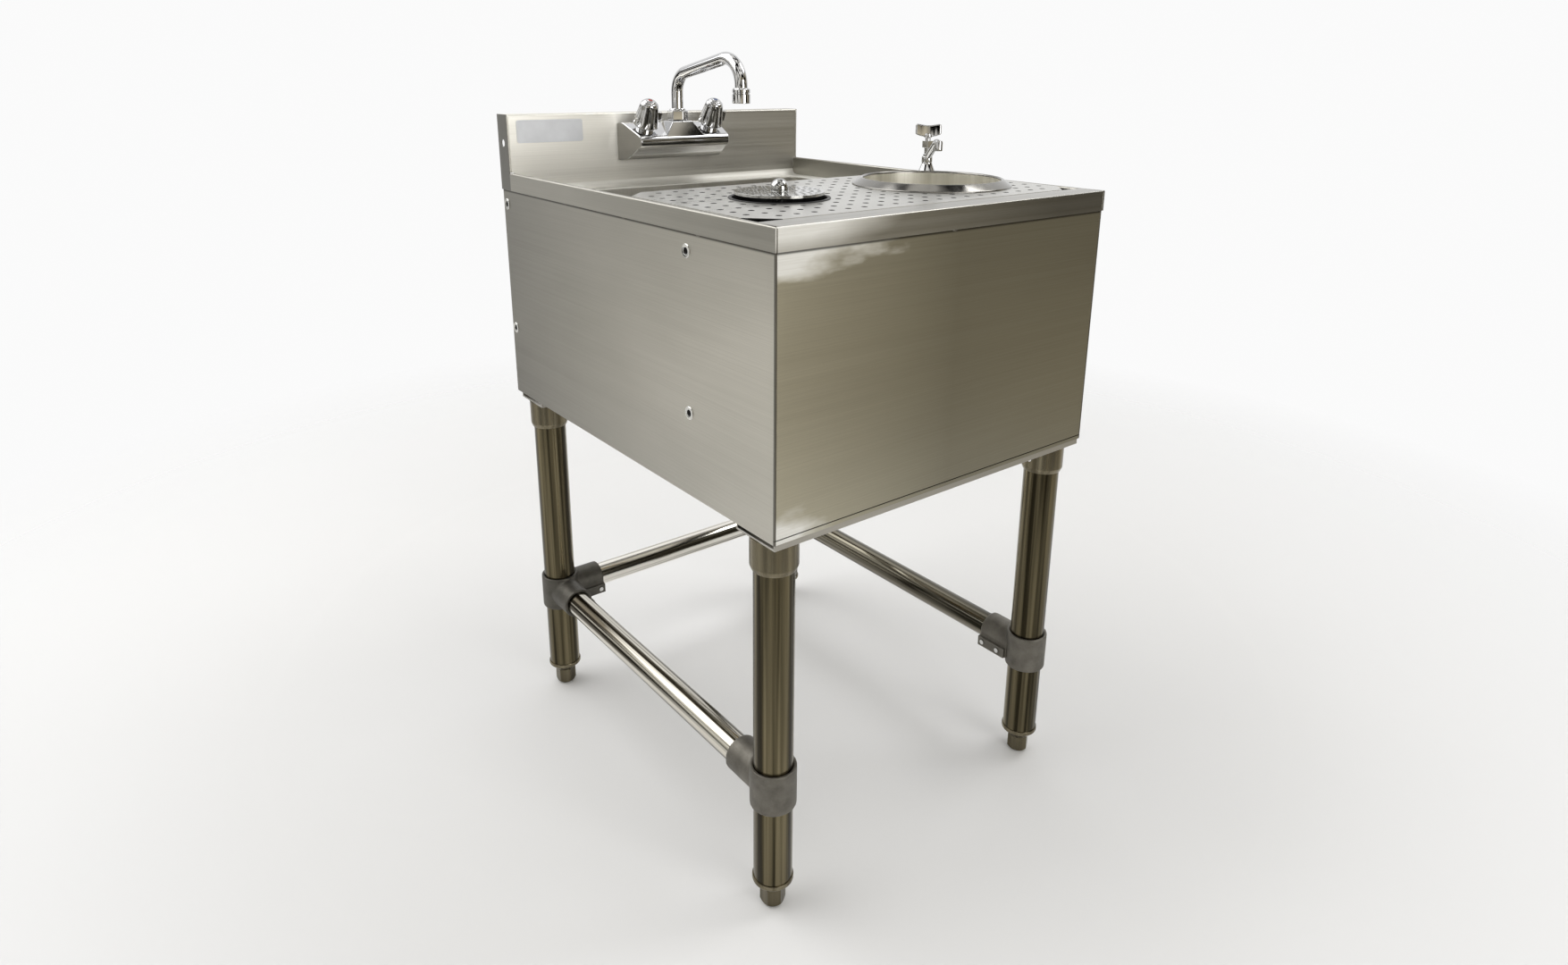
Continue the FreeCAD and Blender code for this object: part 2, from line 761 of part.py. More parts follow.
def bent_tube(points, bends, outer, inner):
    """A round tube through points, with a tangent arc of the given radius at each inner point."""
    edges = []
    last = points[0]
    for before, corner, after, radius in zip(points, points[1:], points[2:], bends):
        back_way = (before - corner).normalize()
        fore_way = (after - corner).normalize()
        half_turn = (math.pi - back_way.getAngle(fore_way)) / 2
        tangent = radius * math.tan(half_turn)
        start = corner + back_way * tangent
        end = corner + fore_way * tangent
        inward = (back_way + fore_way).normalize()
        middle = corner + inward * (radius / math.cos(half_turn) - radius)
        edges.append(Part.makeLine(last, start))
        edges.append(Part.Arc(start, middle, end).toShape())
        last = end
    edges.append(Part.makeLine(last, points[-1]))
    path = Part.Wire(edges)
    shapes = []
    for radius in (outer, inner):
        ring = Part.Wire(Part.makeCircle(radius, points[0], (points[1] - points[0]).normalize()))
        shapes.append(path.makePipeShell([ring], True, False))
    return shapes[0].cut(shapes[1])


def spout():
    far_y = spout_y - spout_reach
    knee = Vector(0, spout_y, spout_shoulder)
    crest = Vector(0, far_y, spout_shoulder + spout_reach * math.tan(math.radians(spout_climb)))
    start = Vector(0, spout_y, spout_nut_z - spout_plug)
    end = Vector(0, far_y, spout_end_height)
    return bent_tube([start, knee, crest, end], [spout_low_bend, spout_high_bend], spout_radius,
                     spout_radius - spout_wall)


def spout_nut():
    start = Vector(0, spout_y, spout_nut_z)
    nut = prism(6, spout_nut_flats, start, up, spout_nut_height)
    return nut.cut(rod(spout_radius + turning_clearance, start, up, spout_nut_height))


def aerator():
    top = spout_end_height
    return turned([
        (0, top), (aerator_radius, top), (aerator_radius, top - aerator_height),
        (aerator_bore_radius, top - aerator_height), (aerator_bore_radius, top - aerator_screen),
        (0, top - aerator_screen)], (0, spout_y - spout_reach))


# Lift-out panel
def near(place, x, y, reach):
    return math.hypot(x - place[0], y - place[1]) < reach


def hole_grid():
    """Centres of the panel's drain holes, in straight rows, less those that meet a larger cut-out."""
    columns = int((panel_x + panel_x - panel_hole_margin - panel_hole_margin) / panel_hole_pitch) + 1
    rows = int((panel_depth - panel_hole_margin - panel_hole_margin) / panel_hole_pitch) + 1
    middle_y = (panel_front_y + panel_rear_y) / 2
    reach = panel_hole_radius + panel_hole_land
    centres = []
    for row in range(rows):
        for column in range(columns):
            x = (column - (columns - 1) / 2) * panel_hole_pitch
            y = middle_y + (row - (rows - 1) / 2) * panel_hole_pitch
            to_corner = panel_x - abs(x) + panel_depth / 2 - abs(y - middle_y)
            blocked = (near(rinser_place, x, y, rinser_hole_radius + reach)
                       or near(well_place, x, y, well_radius + well_wall + well_hole_gap + reach)
                       or near(tap_place, x, y, tap_base_radius + reach)
                       or to_corner < panel_notch + reach + reach)
            if not blocked:
                centres.append((x, y))
    return centres


def drainboard_panel():
    cut_x = panel_x - panel_notch
    front_cut = panel_front_y + panel_notch
    rear_cut = panel_rear_y - panel_notch
    outline = [(-cut_x, panel_front_y), (cut_x, panel_front_y), (panel_x, front_cut), (panel_x, rear_cut),
               (cut_x, panel_rear_y), (-cut_x, panel_rear_y), (-panel_x, rear_cut), (-panel_x, front_cut)]
    corners = [Vector(x, y, panel_z) for x, y in outline]
    circles = [(x, y, panel_hole_radius) for x, y in hole_grid()]
    circles.append((*rinser_place, rinser_hole_radius))
    circles.append((*well_place, well_radius + well_wall + well_hole_gap))
    circles.append((*tap_place, tap_shank_radius + seat_clearance))
    wires = [Part.makePolygon(corners + corners[:1])]
    wires += [Part.Wire(Part.makeCircle(radius, Vector(x, y, panel_z))) for x, y, radius in circles]
    plate = Part.makeFace(Part.makeCompound(wires), "Part::FaceMakerBullseye").extrude(up * sheet)
    flanges = [
        block(-cut_x, cut_x, panel_front_y, panel_front_y + sheet, deck_z, panel_z),
        block(-cut_x, cut_x, panel_rear_y - sheet, panel_rear_y, deck_z, panel_z),
        block(-panel_x, -panel_x + sheet, front_cut, rear_cut, deck_z, panel_z),
        block(panel_x - sheet, panel_x, front_cut, rear_cut, deck_z, panel_z)]
    return join(plate, *flanges)


# Glass rinser
def rinser_cup():
    outer = rinser_hole_radius - seat_clearance
    inner = outer - rinser_wall
    top = rim_height + rinser_flange_height
    base = rim_height - rinser_depth
    bore = rinser_neck_radius + seat_clearance
    cup = turned([
        (inner, top), (rinser_flange_radius, top), (rinser_flange_radius, rim_height), (outer, rim_height),
        (outer, base - rinser_floor), (bore, base - rinser_floor), (bore, base),
        (inner, base)], rinser_place)
    for turn in range(rinser_drain_count):
        angle = 2 * math.pi * turn / rinser_drain_count
        spread = rinser_drain_share * inner
        spot = Vector(*rinser_place, base - rinser_floor - overrun)
        spot += Vector(spread * math.cos(angle), spread * math.sin(angle), 0)
        cup = cup.cut(rod(rinser_drain_radius, spot, up, rinser_floor + overrun + overrun))
    return cup


def rinser_nut():
    start = Vector(*rinser_place, panel_z - rinser_nut_height)
    return pipe(rinser_nut_radius, rinser_hole_radius, start, up, rinser_nut_height)


def rinser_valve():
    floor = rim_height - rinser_depth
    top = floor + rinser_neck_rise
    shoulder = floor - rinser_floor
    low = shoulder - rinser_valve_length
    bore = rinser_stem_radius + turning_clearance
    stem_z = rim_height + rinser_disc_lift - rinser_hub_length - rinser_stem_length
    bottom = stem_z - rinser_travel - overrun
    tail = low - rinser_inlet_length
    return turned([
        (bore, top), (rinser_neck_radius, top), (rinser_neck_radius, shoulder),
        (rinser_valve_radius, shoulder), (rinser_valve_radius, low), (rinser_inlet_radius, low),
        (rinser_inlet_radius, tail), (0, tail), (0, bottom), (bore, bottom)], rinser_place)


def rinser_spring():
    """The space of the return spring, between the valve's neck and the disc's hub."""
    low = rim_height - rinser_depth + rinser_neck_rise
    high = rim_height + rinser_disc_lift - rinser_hub_length
    start = Vector(*rinser_place, low)
    outer = spring_radius + spring_wire_radius
    return pipe(outer, spring_radius - spring_wire_radius, start, up, high - low)


def rinser_disc():
    base = rim_height + rinser_disc_lift
    centre = Vector(*rinser_place, base)
    disc = rod(rinser_disc_radius, centre, up, rinser_disc_thickness)
    holes = []
    for share, count in zip(rinser_ring_shares, rinser_ring_counts):
        for turn in range(count):
            angle = 2 * math.pi * turn / count
            spread = share * rinser_disc_radius
            spot = centre + Vector(spread * math.cos(angle), spread * math.sin(angle), -overrun)
            holes.append(rod(rinser_slot_radius, spot, up, rinser_disc_thickness + overrun + overrun))
    hub = rod(rinser_hub_radius, centre + down * rinser_hub_length, up, rinser_hub_length)
    stem = rod(rinser_stem_radius, centre + down * rinser_hub_length, down, rinser_stem_length)
    ball = Part.makeSphere(rinser_ball_radius, centre + up * (rinser_disc_thickness + rinser_ball_rise))
    cut_z = up * (rinser_disc_thickness / 2)
    lower = rod(rinser_ball_radius + overrun, centre + cut_z, down, rinser_ball_radius)
    return join(disc.cut(holes), hub, stem, ball.cut(lower))


# Dipper well
def well_bowl():
    top = rim_height + well_rim_height
    floor = rim_height - well_depth
    outer = well_radius + well_wall
    outer_floor = floor - well_wall
    bend = well_floor_radius
    side = bend * math.sin(math.pi / 4)
    corners = [Vector(r, 0, z) for r, z in (
        (well_radius, floor + bend), (well_radius, top), (well_radius + well_lip, top),
        (well_rim_radius, rim_height + well_rim_edge), (well_rim_radius, rim_height), (outer, rim_height),
        (outer, floor + bend))]
    edges = [Part.makeLine(a, b) for a, b in zip(corners, corners[1:])]
    hub = well_radius - bend
    outer_bend = bend + well_wall
    outer_side = outer_bend * math.sin(math.pi / 4)
    edges.append(Part.Arc(corners[-1], Vector(hub + outer_side, 0, floor + bend - outer_side),
                          Vector(hub, 0, outer_floor)).toShape())
    bore = well_drain_radius
    edges.append(Part.makeLine(Vector(hub, 0, outer_floor), Vector(bore, 0, outer_floor)))
    edges.append(Part.makeLine(Vector(bore, 0, outer_floor), Vector(bore, 0, floor)))
    edges.append(Part.makeLine(Vector(bore, 0, floor), Vector(hub, 0, floor)))
    middle = Vector(hub + side, 0, floor + bend - side)
    edges.append(Part.Arc(Vector(hub, 0, floor), middle, corners[0]).toShape())
    bowl = Part.Face(Part.Wire(edges)).revolve(Vector(0, 0, 0), up, math.degrees(2 * math.pi))
    bowl.translate(Vector(*well_place, 0))
    return bowl


def well_overflow():
    floor = rim_height - well_depth
    inner = overflow_radius - overflow_wall
    plug = well_drain_radius - seat_clearance
    collar = well_drain_radius + overflow_collar
    return turned([
        (inner, floor + overflow_height), (overflow_radius, floor + overflow_height),
        (overflow_radius, floor + overflow_collar), (collar, floor + overflow_collar), (collar, floor),
        (plug, floor), (plug, floor - overflow_plug), (inner, floor - overflow_plug)], well_place)


# Small tap
collar_z = rim_height + tap_base_height + tap_waist_height
head_z = collar_z + tap_collar_height + turning_clearance
packing_z = head_z + tap_head_height
handle_z = packing_z + packing_nut_height + tap_handle_gap
aim = math.radians(tap_spout_aim)
tap_way = Vector(-math.sin(aim), -math.cos(aim), 0)


def tap_body():
    waist = tap_waist_radius
    tail_z = rim_height - tap_shank_length
    return turned([
        (0, tail_z), (tap_tail_radius, tail_z), (tap_tail_radius, tail_z + tap_tail_length),
        (tap_shank_radius, tail_z + tap_tail_length), (tap_shank_radius, rim_height),
        (tap_base_radius, rim_height),
        (tap_base_radius, rim_height + tap_base_edge), (tap_head_radius, rim_height + tap_base_height),
        (tap_head_radius, collar_z), (waist, collar_z), (waist, head_z), (tap_head_radius, head_z),
        (tap_head_radius, packing_z), (0, packing_z)], tap_place)


def tap_locknut():
    start = Vector(*tap_place, panel_z - tap_nut_height)
    nut = prism(6, 2 * tap_nut_radius, start, up, tap_nut_height)
    return nut.cut(rod(tap_shank_radius + seat_clearance, start, up, tap_nut_height))


def packing_nut():
    start = Vector(*tap_place, packing_z)
    nut = prism(4, packing_nut_flats, start, up, packing_nut_height)
    return nut.cut(rod(tap_stem_radius + turning_clearance, start, up, packing_nut_height))


def tap_handle():
    """A two-winged handle with a scooped top, on the stem that it turns."""
    base = Vector(*tap_place, packing_z)
    stem = rod(tap_stem_radius, base, up, handle_z - packing_z + tap_handle_height / 4)
    low = handle_z
    wing = [Vector(-tap_handle_waist / 2, 0, low), Vector(tap_handle_waist / 2, 0, low),
            Vector(tap_handle_half_span, 0, low + tap_handle_height / 2),
            Vector(tap_handle_half_span, 0, low + tap_handle_height),
            Vector(-tap_handle_half_span, 0, low + tap_handle_height),
            Vector(-tap_handle_half_span, 0, low + tap_handle_height / 2)]
    blade = Part.Face(Part.makePolygon(wing + wing[:1])).extrude(Vector(0, tap_handle_thickness, 0))
    blade.translate(Vector(tap_place[0], tap_place[1] - tap_handle_thickness / 2, 0))
    scoop_z = low + tap_handle_height + tap_handle_scoop / 4
    scoop_start = Vector(tap_place[0], tap_place[1] - tap_handle_thickness, scoop_z)
    scoop = rod(tap_handle_scoop, scoop_start, Vector(0, 1, 0), 2 * tap_handle_thickness)
    wings = blade.cut(scoop)
    wings.rotate(base, up, tap_handle_rest_turn)
    return join(wings, stem)


def tap_spout():
    start = Vector(*tap_place, collar_z)
    bore = tap_waist_radius + turning_clearance
    ring = rod(tap_collar_radius, start, up, tap_collar_height)
    arm_rise = tap_collar_height * tap_arm_share
    root = start + up * arm_rise + tap_way * bore
    tip = start + up * (arm_rise + tap_spout_rise) + tap_way * tap_spout_reach
    arm = rod(tap_spout_radius, root, (tip - root).normalize(), (tip - root).Length)
    knuckle = Part.makeSphere(tap_nozzle_radius, tip)
    nozzle = rod(tap_nozzle_radius, tip, down, tap_nozzle_length)
    shape = join(ring, arm, knuckle, nozzle)
    return shape.cut(rod(bore, start, up, tap_collar_height))


os.makedirs("parts", exist_ok=True)
save("top_sheet", top_sheet())
save("backsplash", backsplash())
save("backsplash_end_left", backsplash_end())
save("backsplash_end_right", both_sides(backsplash_end()))
save("rating_plate", rating_plate())
save("sink_bowl", sink_bowl())
save("drain_flange", drain_flange())
save("drain_strainer", drain_strainer())
save("drain_locknut", drain_locknut())
save("drain_tailpiece", drain_tailpiece())
save("drain_coupling", drain_coupling())
save("left_apron", side_apron())
save("right_apron", both_sides(side_apron()))
save("front_apron", front_apron())
save("front_channel", leg_channel(leg_front_y))
save("rear_channel", leg_channel(leg_rear_y))
save("threaded_inserts", threaded_inserts())
save("leg_sockets", leg_sockets())
save("socket_set_screws", socket_set_screws())
for corner_name, corner_place in leg_places.items():
    save("leg_" + corner_name, leg(corner_place))
    save("rail_fitting_" + corner_name, fitting(corner_name))
    save("foot_" + corner_name, foot(corner_place))
save("fitting_set_screws", fitting_set_screws())
save("left_rail", side_rail())
save("right_rail", both_sides(side_rail()))
save("rear_rail", rear_rail())
save("foot_sockets", foot_sockets())
save("faucet_body", faucet_body())
save("faucet_locknuts", faucet_locknuts())
save("hot_bonnet", valve_bonnet(-1))
save("cold_bonnet", valve_bonnet(1))
save("hot_knob", knob(-1))
save("cold_knob", knob(1))
save("hot_index_cap", index_cap(-1))
save("cold_index_cap", index_cap(1))
save("spout", spout())
save("spout_nut", spout_nut())
save("aerator", aerator())
save("drainboard_panel", drainboard_panel())
save("rinser_cup", rinser_cup())
save("rinser_nut", rinser_nut())
save("rinser_valve", rinser_valve())
save("rinser_spring", rinser_spring())
save("rinser_disc", rinser_disc())
save("well_bowl", well_bowl())
save("well_overflow", well_overflow())
save("tap_body", tap_body())
save("tap_locknut", tap_locknut())
save("packing_nut", packing_nut())
save("tap_handle", tap_handle())
save("tap_spout", tap_spout())
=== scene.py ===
import json
import math

import bmesh
import bpy
from mathutils import Matrix, Vector


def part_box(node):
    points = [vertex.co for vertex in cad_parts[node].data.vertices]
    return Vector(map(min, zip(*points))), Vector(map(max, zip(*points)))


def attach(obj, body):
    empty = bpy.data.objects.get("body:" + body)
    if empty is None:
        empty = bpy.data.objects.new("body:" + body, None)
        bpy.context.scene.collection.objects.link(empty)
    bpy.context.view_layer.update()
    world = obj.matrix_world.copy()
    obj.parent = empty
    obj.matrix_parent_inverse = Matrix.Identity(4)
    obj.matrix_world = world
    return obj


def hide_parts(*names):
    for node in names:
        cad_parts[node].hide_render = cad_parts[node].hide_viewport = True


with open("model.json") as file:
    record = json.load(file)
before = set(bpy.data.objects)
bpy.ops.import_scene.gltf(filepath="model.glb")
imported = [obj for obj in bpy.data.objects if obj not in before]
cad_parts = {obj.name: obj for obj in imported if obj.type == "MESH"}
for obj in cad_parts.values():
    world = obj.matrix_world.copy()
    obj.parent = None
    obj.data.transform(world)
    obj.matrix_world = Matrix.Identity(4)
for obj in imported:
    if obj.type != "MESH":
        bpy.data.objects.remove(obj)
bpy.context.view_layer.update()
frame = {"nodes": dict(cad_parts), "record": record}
scene = bpy.context.scene

# Sizes in millimetres, as the CAD has them. X is to the right, Y to the back, Z up from the floor.
MM = 0.001
HALF_WIDTH, FRONT, REAR, SPLASH = 228.6, -286.0, 286.0, 258.0
RIM, DECK, HEM, SPLASH_TOP = 729.0, 704.0, 707.0, 800.0
INNER_X, INNER_FRONT, SKIN_X, SHEET = 222.6, -254.5, 227.4, 1.2
BOWL_X, BOWL_FRONT, BOWL_REAR, OPENING_CORNER = 198.0, -235.0, 232.0, 15.0
APRON_BOTTOM, CHANNEL_BOTTOM = 438.0, 431.0
GROOVE_LOW, GROOVE_HIGH = APRON_BOTTOM + 4.2, APRON_BOTTOM + 5.2
LEGS = {"fl": (-203.0, -253.0), "fr": (203.0, -253.0), "rl": (-203.0, 244.0), "rr": (203.0, 244.0)}
LEG_MOVES = {key: (x - LEGS["fl"][0], y - LEGS["fl"][1], 0) for key, (x, y) in LEGS.items()}
LEG_RADIUS, LEG_BORE, LEG_LOW, LEG_TOP = 20.65, 19.15, 36.0, 429.0
RAIL_RADIUS, RAIL_BORE, RAIL_HEIGHT, RAIL_START = 15.88, 14.4, 150.0, 23.5
INSERT_Y, INSERT_Z, INSERT_BORE = (275.0, -146.0), (689.0, 527.0), 3.4
ON_PANEL = RIM + 0.05
RINSER = (-105.0, -131.5)
WELL = (116.0, -131.5)
TAP = (190.0, -52.5)
TAP_AIM, HANDLE_TURN = math.radians(21.0), math.radians(-40.0)
VALVE_X, LEAN = 50.8, math.radians(24.0)
SLOPE_TOP, SLOPE_LENGTH = (245.0, 787.0), 36.0
SPOUT_Y, BOSS_TOP = 228.0, 789.0
MIRROR = Matrix.Scale(-1, 4, (1, 0, 0))


def at(x, y, z):
    return Vector((x, y, z)) * MM


def near(a, b):
    return abs(a - b) < 0.05


# Hand tools
def object_mode():
    if bpy.context.mode != "OBJECT":
        bpy.ops.object.mode_set(mode="OBJECT")


def free_hand():
    """Object mode with nothing selected, so that the next tool acts on new work only."""
    object_mode()
    bpy.ops.object.select_all(action="DESELECT")


def open_mesh():
    if bpy.context.mode == "OBJECT":
        bpy.ops.object.mode_set(mode="EDIT")


def all_of_it():
    bpy.ops.mesh.select_all(action="SELECT")


def choose(kind, wanted):
    """Selects the faces, edges or points whose middle, in millimetres, passes a test."""
    bpy.ops.mesh.select_mode(type=kind)
    bpy.ops.mesh.select_all(action="DESELECT")
    piece = bpy.context.object
    shape = bmesh.from_edit_mesh(piece.data)
    for part in {"FACE": shape.faces, "EDGE": shape.edges, "VERT": shape.verts}[kind]:
        corners = [part] if kind == "VERT" else part.verts
        middle = sum((corner.co for corner in corners), Vector()) / len(corners)
        if wanted(*((piece.matrix_world @ middle) / MM)):
            part.select_set(True)
    shape.select_flush_mode()
    bmesh.update_edit_mesh(piece.data)


def slide(x, y, z):
    bpy.ops.transform.translate(value=at(x, y, z))


def stretch(x, y, z, centre=(0, 0, 0)):
    """Scales what is selected about a point."""
    bpy.ops.transform.resize(value=(x, y, z), center_override=at(*centre))


def swell(share, centre=(0, 0, 0)):
    """Scales what is selected about an upright line, and keeps its heights."""
    stretch(share, share, 1, centre)


def pull_edges(x, y, z):
    bpy.ops.mesh.extrude_edges_move(TRANSFORM_OT_translate={"value": at(x, y, z)})


def pull_face(x, y, z):
    bpy.ops.mesh.extrude_region_move(TRANSFORM_OT_translate={"value": at(x, y, z)})


def round_edges(width, steps):
    bpy.ops.mesh.bevel(offset=width * MM, segments=steps, profile=0.5, affect="EDGES", clamp_overlap=True)


def tidy_mesh():
    """Merges doubles and turns the faces outwards."""
    all_of_it()
    bpy.ops.mesh.remove_doubles(threshold=2e-6)
    bpy.ops.mesh.normals_make_consistent(inside=False)


def flat_sheet(x0, x1, y0, y1, z):
    """A flat sheet to start from, in edit mode with all of it selected."""
    middle = (x0 + x1) / 2, (y0 + y1) / 2, z
    if bpy.context.mode == "OBJECT":
        free_hand()
    bpy.ops.mesh.primitive_plane_add(size=MM, location=at(*middle))
    open_mesh()
    bpy.ops.mesh.select_mode(type="VERT")
    stretch(x1 - x0, y1 - y0, 1, middle)


def score(point, way):
    """Cuts the whole mesh along a flat plane, and keeps both sides."""
    all_of_it()
    bpy.ops.mesh.bisect(plane_co=at(*point), plane_no=Vector(way).normalized())


def trim(point, way):
    """Cuts away what lies beyond a plane and closes the cut."""
    all_of_it()
    bpy.ops.mesh.bisect(plane_co=at(*point), plane_no=Vector(way).normalized(), use_fill=True,
                        clear_outer=True)


def draw_line(points):
    """Draws a line through points in edit mode, from one merged corner on."""
    free_hand()
    places = [at(*point) for point in points]
    bpy.ops.mesh.primitive_plane_add(size=MM, location=places[0])
    open_mesh()
    bpy.ops.mesh.select_mode(type="VERT")
    all_of_it()
    bpy.ops.mesh.merge(type="CENTER")
    for here, there in zip(places, places[1:]):
        bpy.ops.mesh.extrude_vertices_move(TRANSFORM_OT_translate={"value": there - here})


def turn(outline, place=(0, 0), steps=72, height=0.0):
    """Turns an outline of (radius, rise) points about the upright line at place, from a height up."""
    draw_line([(place[0] + radius, place[1], height + rise) for radius, rise in outline])
    all_of_it()
    bpy.ops.mesh.spin(steps=steps, angle=2 * math.pi, center=at(*place, 0), axis=(0, 0, 1))
    tidy_mesh()


def pipe(bore, radius, low, high, place=(0, 0), steps=72):
    """An upright tube with square ends."""
    turn([(bore, low), (radius, low), (radius, high), (bore, high), (bore, low)], place, steps)


def flat_ring(sides, radius, place=(0, 0, 0), fill="NOTHING"):
    """A ring or a disc to pull a tube from, in edit mode with all of it selected."""
    free_hand()
    bpy.ops.mesh.primitive_circle_add(vertices=sides, radius=radius * MM, fill_type=fill, location=at(*place))
    open_mesh()
    all_of_it()


def trace(node):
    """A copy of a CAD solid's mesh with its triangles merged and its flats made whole, in edit mode."""
    free_hand()
    piece = bpy.data.objects.new(node, frame["nodes"][node].data.copy())
    scene.collection.objects.link(piece)
    piece.select_set(True)
    bpy.context.view_layer.objects.active = piece
    open_mesh()
    all_of_it()
    bpy.ops.mesh.remove_doubles(threshold=2e-6)
    bpy.ops.mesh.dissolve_limited(angle_limit=math.radians(0.4))


def use(kind, **settings):
    """Adds a modifier to the piece in hand and applies it."""
    object_mode()
    modifier = bpy.context.object.modifiers.new(kind.lower(), kind)
    for key, value in settings.items():
        setattr(modifier, key, value)
    bpy.ops.object.modifier_apply(modifier=modifier.name)


def soften(width, steps=3, sharp=25.0):
    """Rounds the edges of the piece in hand that turn by more than an angle in degrees."""
    use("BEVEL", width=width * MM, segments=steps, limit_method="ANGLE", angle_limit=math.radians(sharp))


def apply_place():
    """Writes the place, turn and scale of the piece in hand into its mesh."""
    object_mode()
    bpy.ops.object.transform_apply(location=True, rotation=True, scale=True)


def join_with(*parts):
    """Joins other pieces to the piece in hand."""
    for part in parts:
        part.select_set(True)
    bpy.ops.object.join()


def settle(place=(0, 0, 0), lean=0.0, aim=0.0):
    """Leans and aims the piece in hand about its own zero point, moves that to place, and returns it."""
    apply_place()
    piece = bpy.context.object
    turned = Matrix.Rotation(aim, 4, "Z") @ Matrix.Rotation(lean, 4, "X")
    piece.matrix_world = Matrix.Translation(at(*place)) @ turned
    apply_place()
    return piece


def copy_to(*moves):
    """Copies the piece in hand by each move or matrix and joins the copies to it."""
    apply_place()
    first = bpy.context.object
    made = []
    for move in moves:
        twin = first.copy()
        twin.data = first.data.copy()
        scene.collection.objects.link(twin)
        matrix = move if isinstance(move, Matrix) else Matrix.Translation(at(*move))
        twin.data.transform(matrix)
        if matrix.determinant() < 0:
            twin.data.flip_normals()
        made.append(twin)
    first.select_set(True)
    bpy.context.view_layer.objects.active = first
    join_with(*made)


def hand_over(name, body, finish, nodes=(), edge=0.0, steps=2, sharp=32.0):
    """Names the piece in hand, rounds its edges, gives it its finish and body, and hides the CAD nodes it
    stands for.
    """
    apply_place()
    piece = bpy.context.object
    piece.name = name
    piece.data.name = name
    if edge:
        soften(edge, steps, sharp)
    bpy.ops.object.shade_smooth_by_angle(angle=math.radians(sharp + 8))
    use("WEIGHTED_NORMAL", keep_sharp=True)
    piece.data.materials.clear()
    for layer in finish if isinstance(finish, (list, tuple)) else [finish]:
        piece.data.materials.append(layer)
    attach(piece, body)
    if nodes:
        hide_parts(*nodes)
    return piece


def second_finish(piece, wanted):
    """Gives a piece's second finish to the faces whose middle, in millimetres, and normal pass a test."""
    for face in piece.data.polygons:
        face.material_index = int(wanted(face.center / MM, face.normal))


# Finishes
class Nodes:
    """A node tree, with short ways to add the nodes that make a finish or the room."""

    def __init__(self, tree, coordinates):
        self.tree = tree
        self.place = self.add("ShaderNodeTexCoord").outputs[coordinates]

    def add(self, kind, sockets=None, **settings):
        """A new node with its settings, and values for its sockets by name or number."""
        node = self.tree.nodes.new(kind)
        for key, value in settings.items():
            setattr(node, key, value)
        for socket, value in (sockets or {}).items():
            node.inputs[socket].default_value = value
        return node

    def feed(self, source, target):
        self.tree.links.new(source, target)

    def grain(self, scale, detail, rough):
        """Noise stretched by its own scale in X, Y and Z, in waves for each metre."""
        mapping = self.add("ShaderNodeMapping", {"Scale": scale})
        self.feed(self.place, mapping.inputs["Vector"])
        noise = self.add("ShaderNodeTexNoise", {"Scale": 1.0, "Detail": detail, "Roughness": rough})
        self.feed(mapping.outputs["Vector"], noise.inputs["Vector"])
        return noise.outputs["Fac"]

    def along(self, direction):
        """How far each point lies along a direction."""
        dot = self.add("ShaderNodeVectorMath", {1: direction}, operation="DOT_PRODUCT")
        self.feed(self.place, dot.inputs[0])
        return dot.outputs["Value"]

    def between(self, source, low, high, start=0.3, end=0.7, ease="LINEAR"):
        limits = {"From Min": start, "From Max": end, "To Min": low, "To Max": high}
        ranged = self.add("ShaderNodeMapRange", limits, interpolation_type=ease)
        self.feed(source, ranged.inputs["Value"])
        return ranged.outputs["Result"]

    def tint(self, source, dark, light, start=0.3, end=0.7):
        ramp = self.add("ShaderNodeValToRGB")
        for stop, place, color in zip(ramp.color_ramp.elements, (start, end), (dark, light)):
            stop.position = place
            stop.color = (*color, 1)
        self.feed(source, ramp.inputs["Fac"])
        return ramp.outputs["Color"]

    def blend(self, amount, under, over, way="MIX"):
        mix = self.add("ShaderNodeMix", data_type="RGBA", blend_type=way)
        for source, target in ((amount, mix.inputs[0]), (under, mix.inputs[6]), (over, mix.inputs[7])):
            if isinstance(source, (int, float)):
                target.default_value = source if target.type == "VALUE" else (source, source, source, 1)
            elif isinstance(source, tuple):
                target.default_value = (*source, 1)
            else:
                self.feed(source, target)
        return mix.outputs[2]

    def sum_of(self, operation, first, second):
        node = self.add("ShaderNodeMath", operation=operation)
        self.feed(first, node.inputs[0])
        self.feed(second, node.inputs[1])
        return node.outputs["Value"]


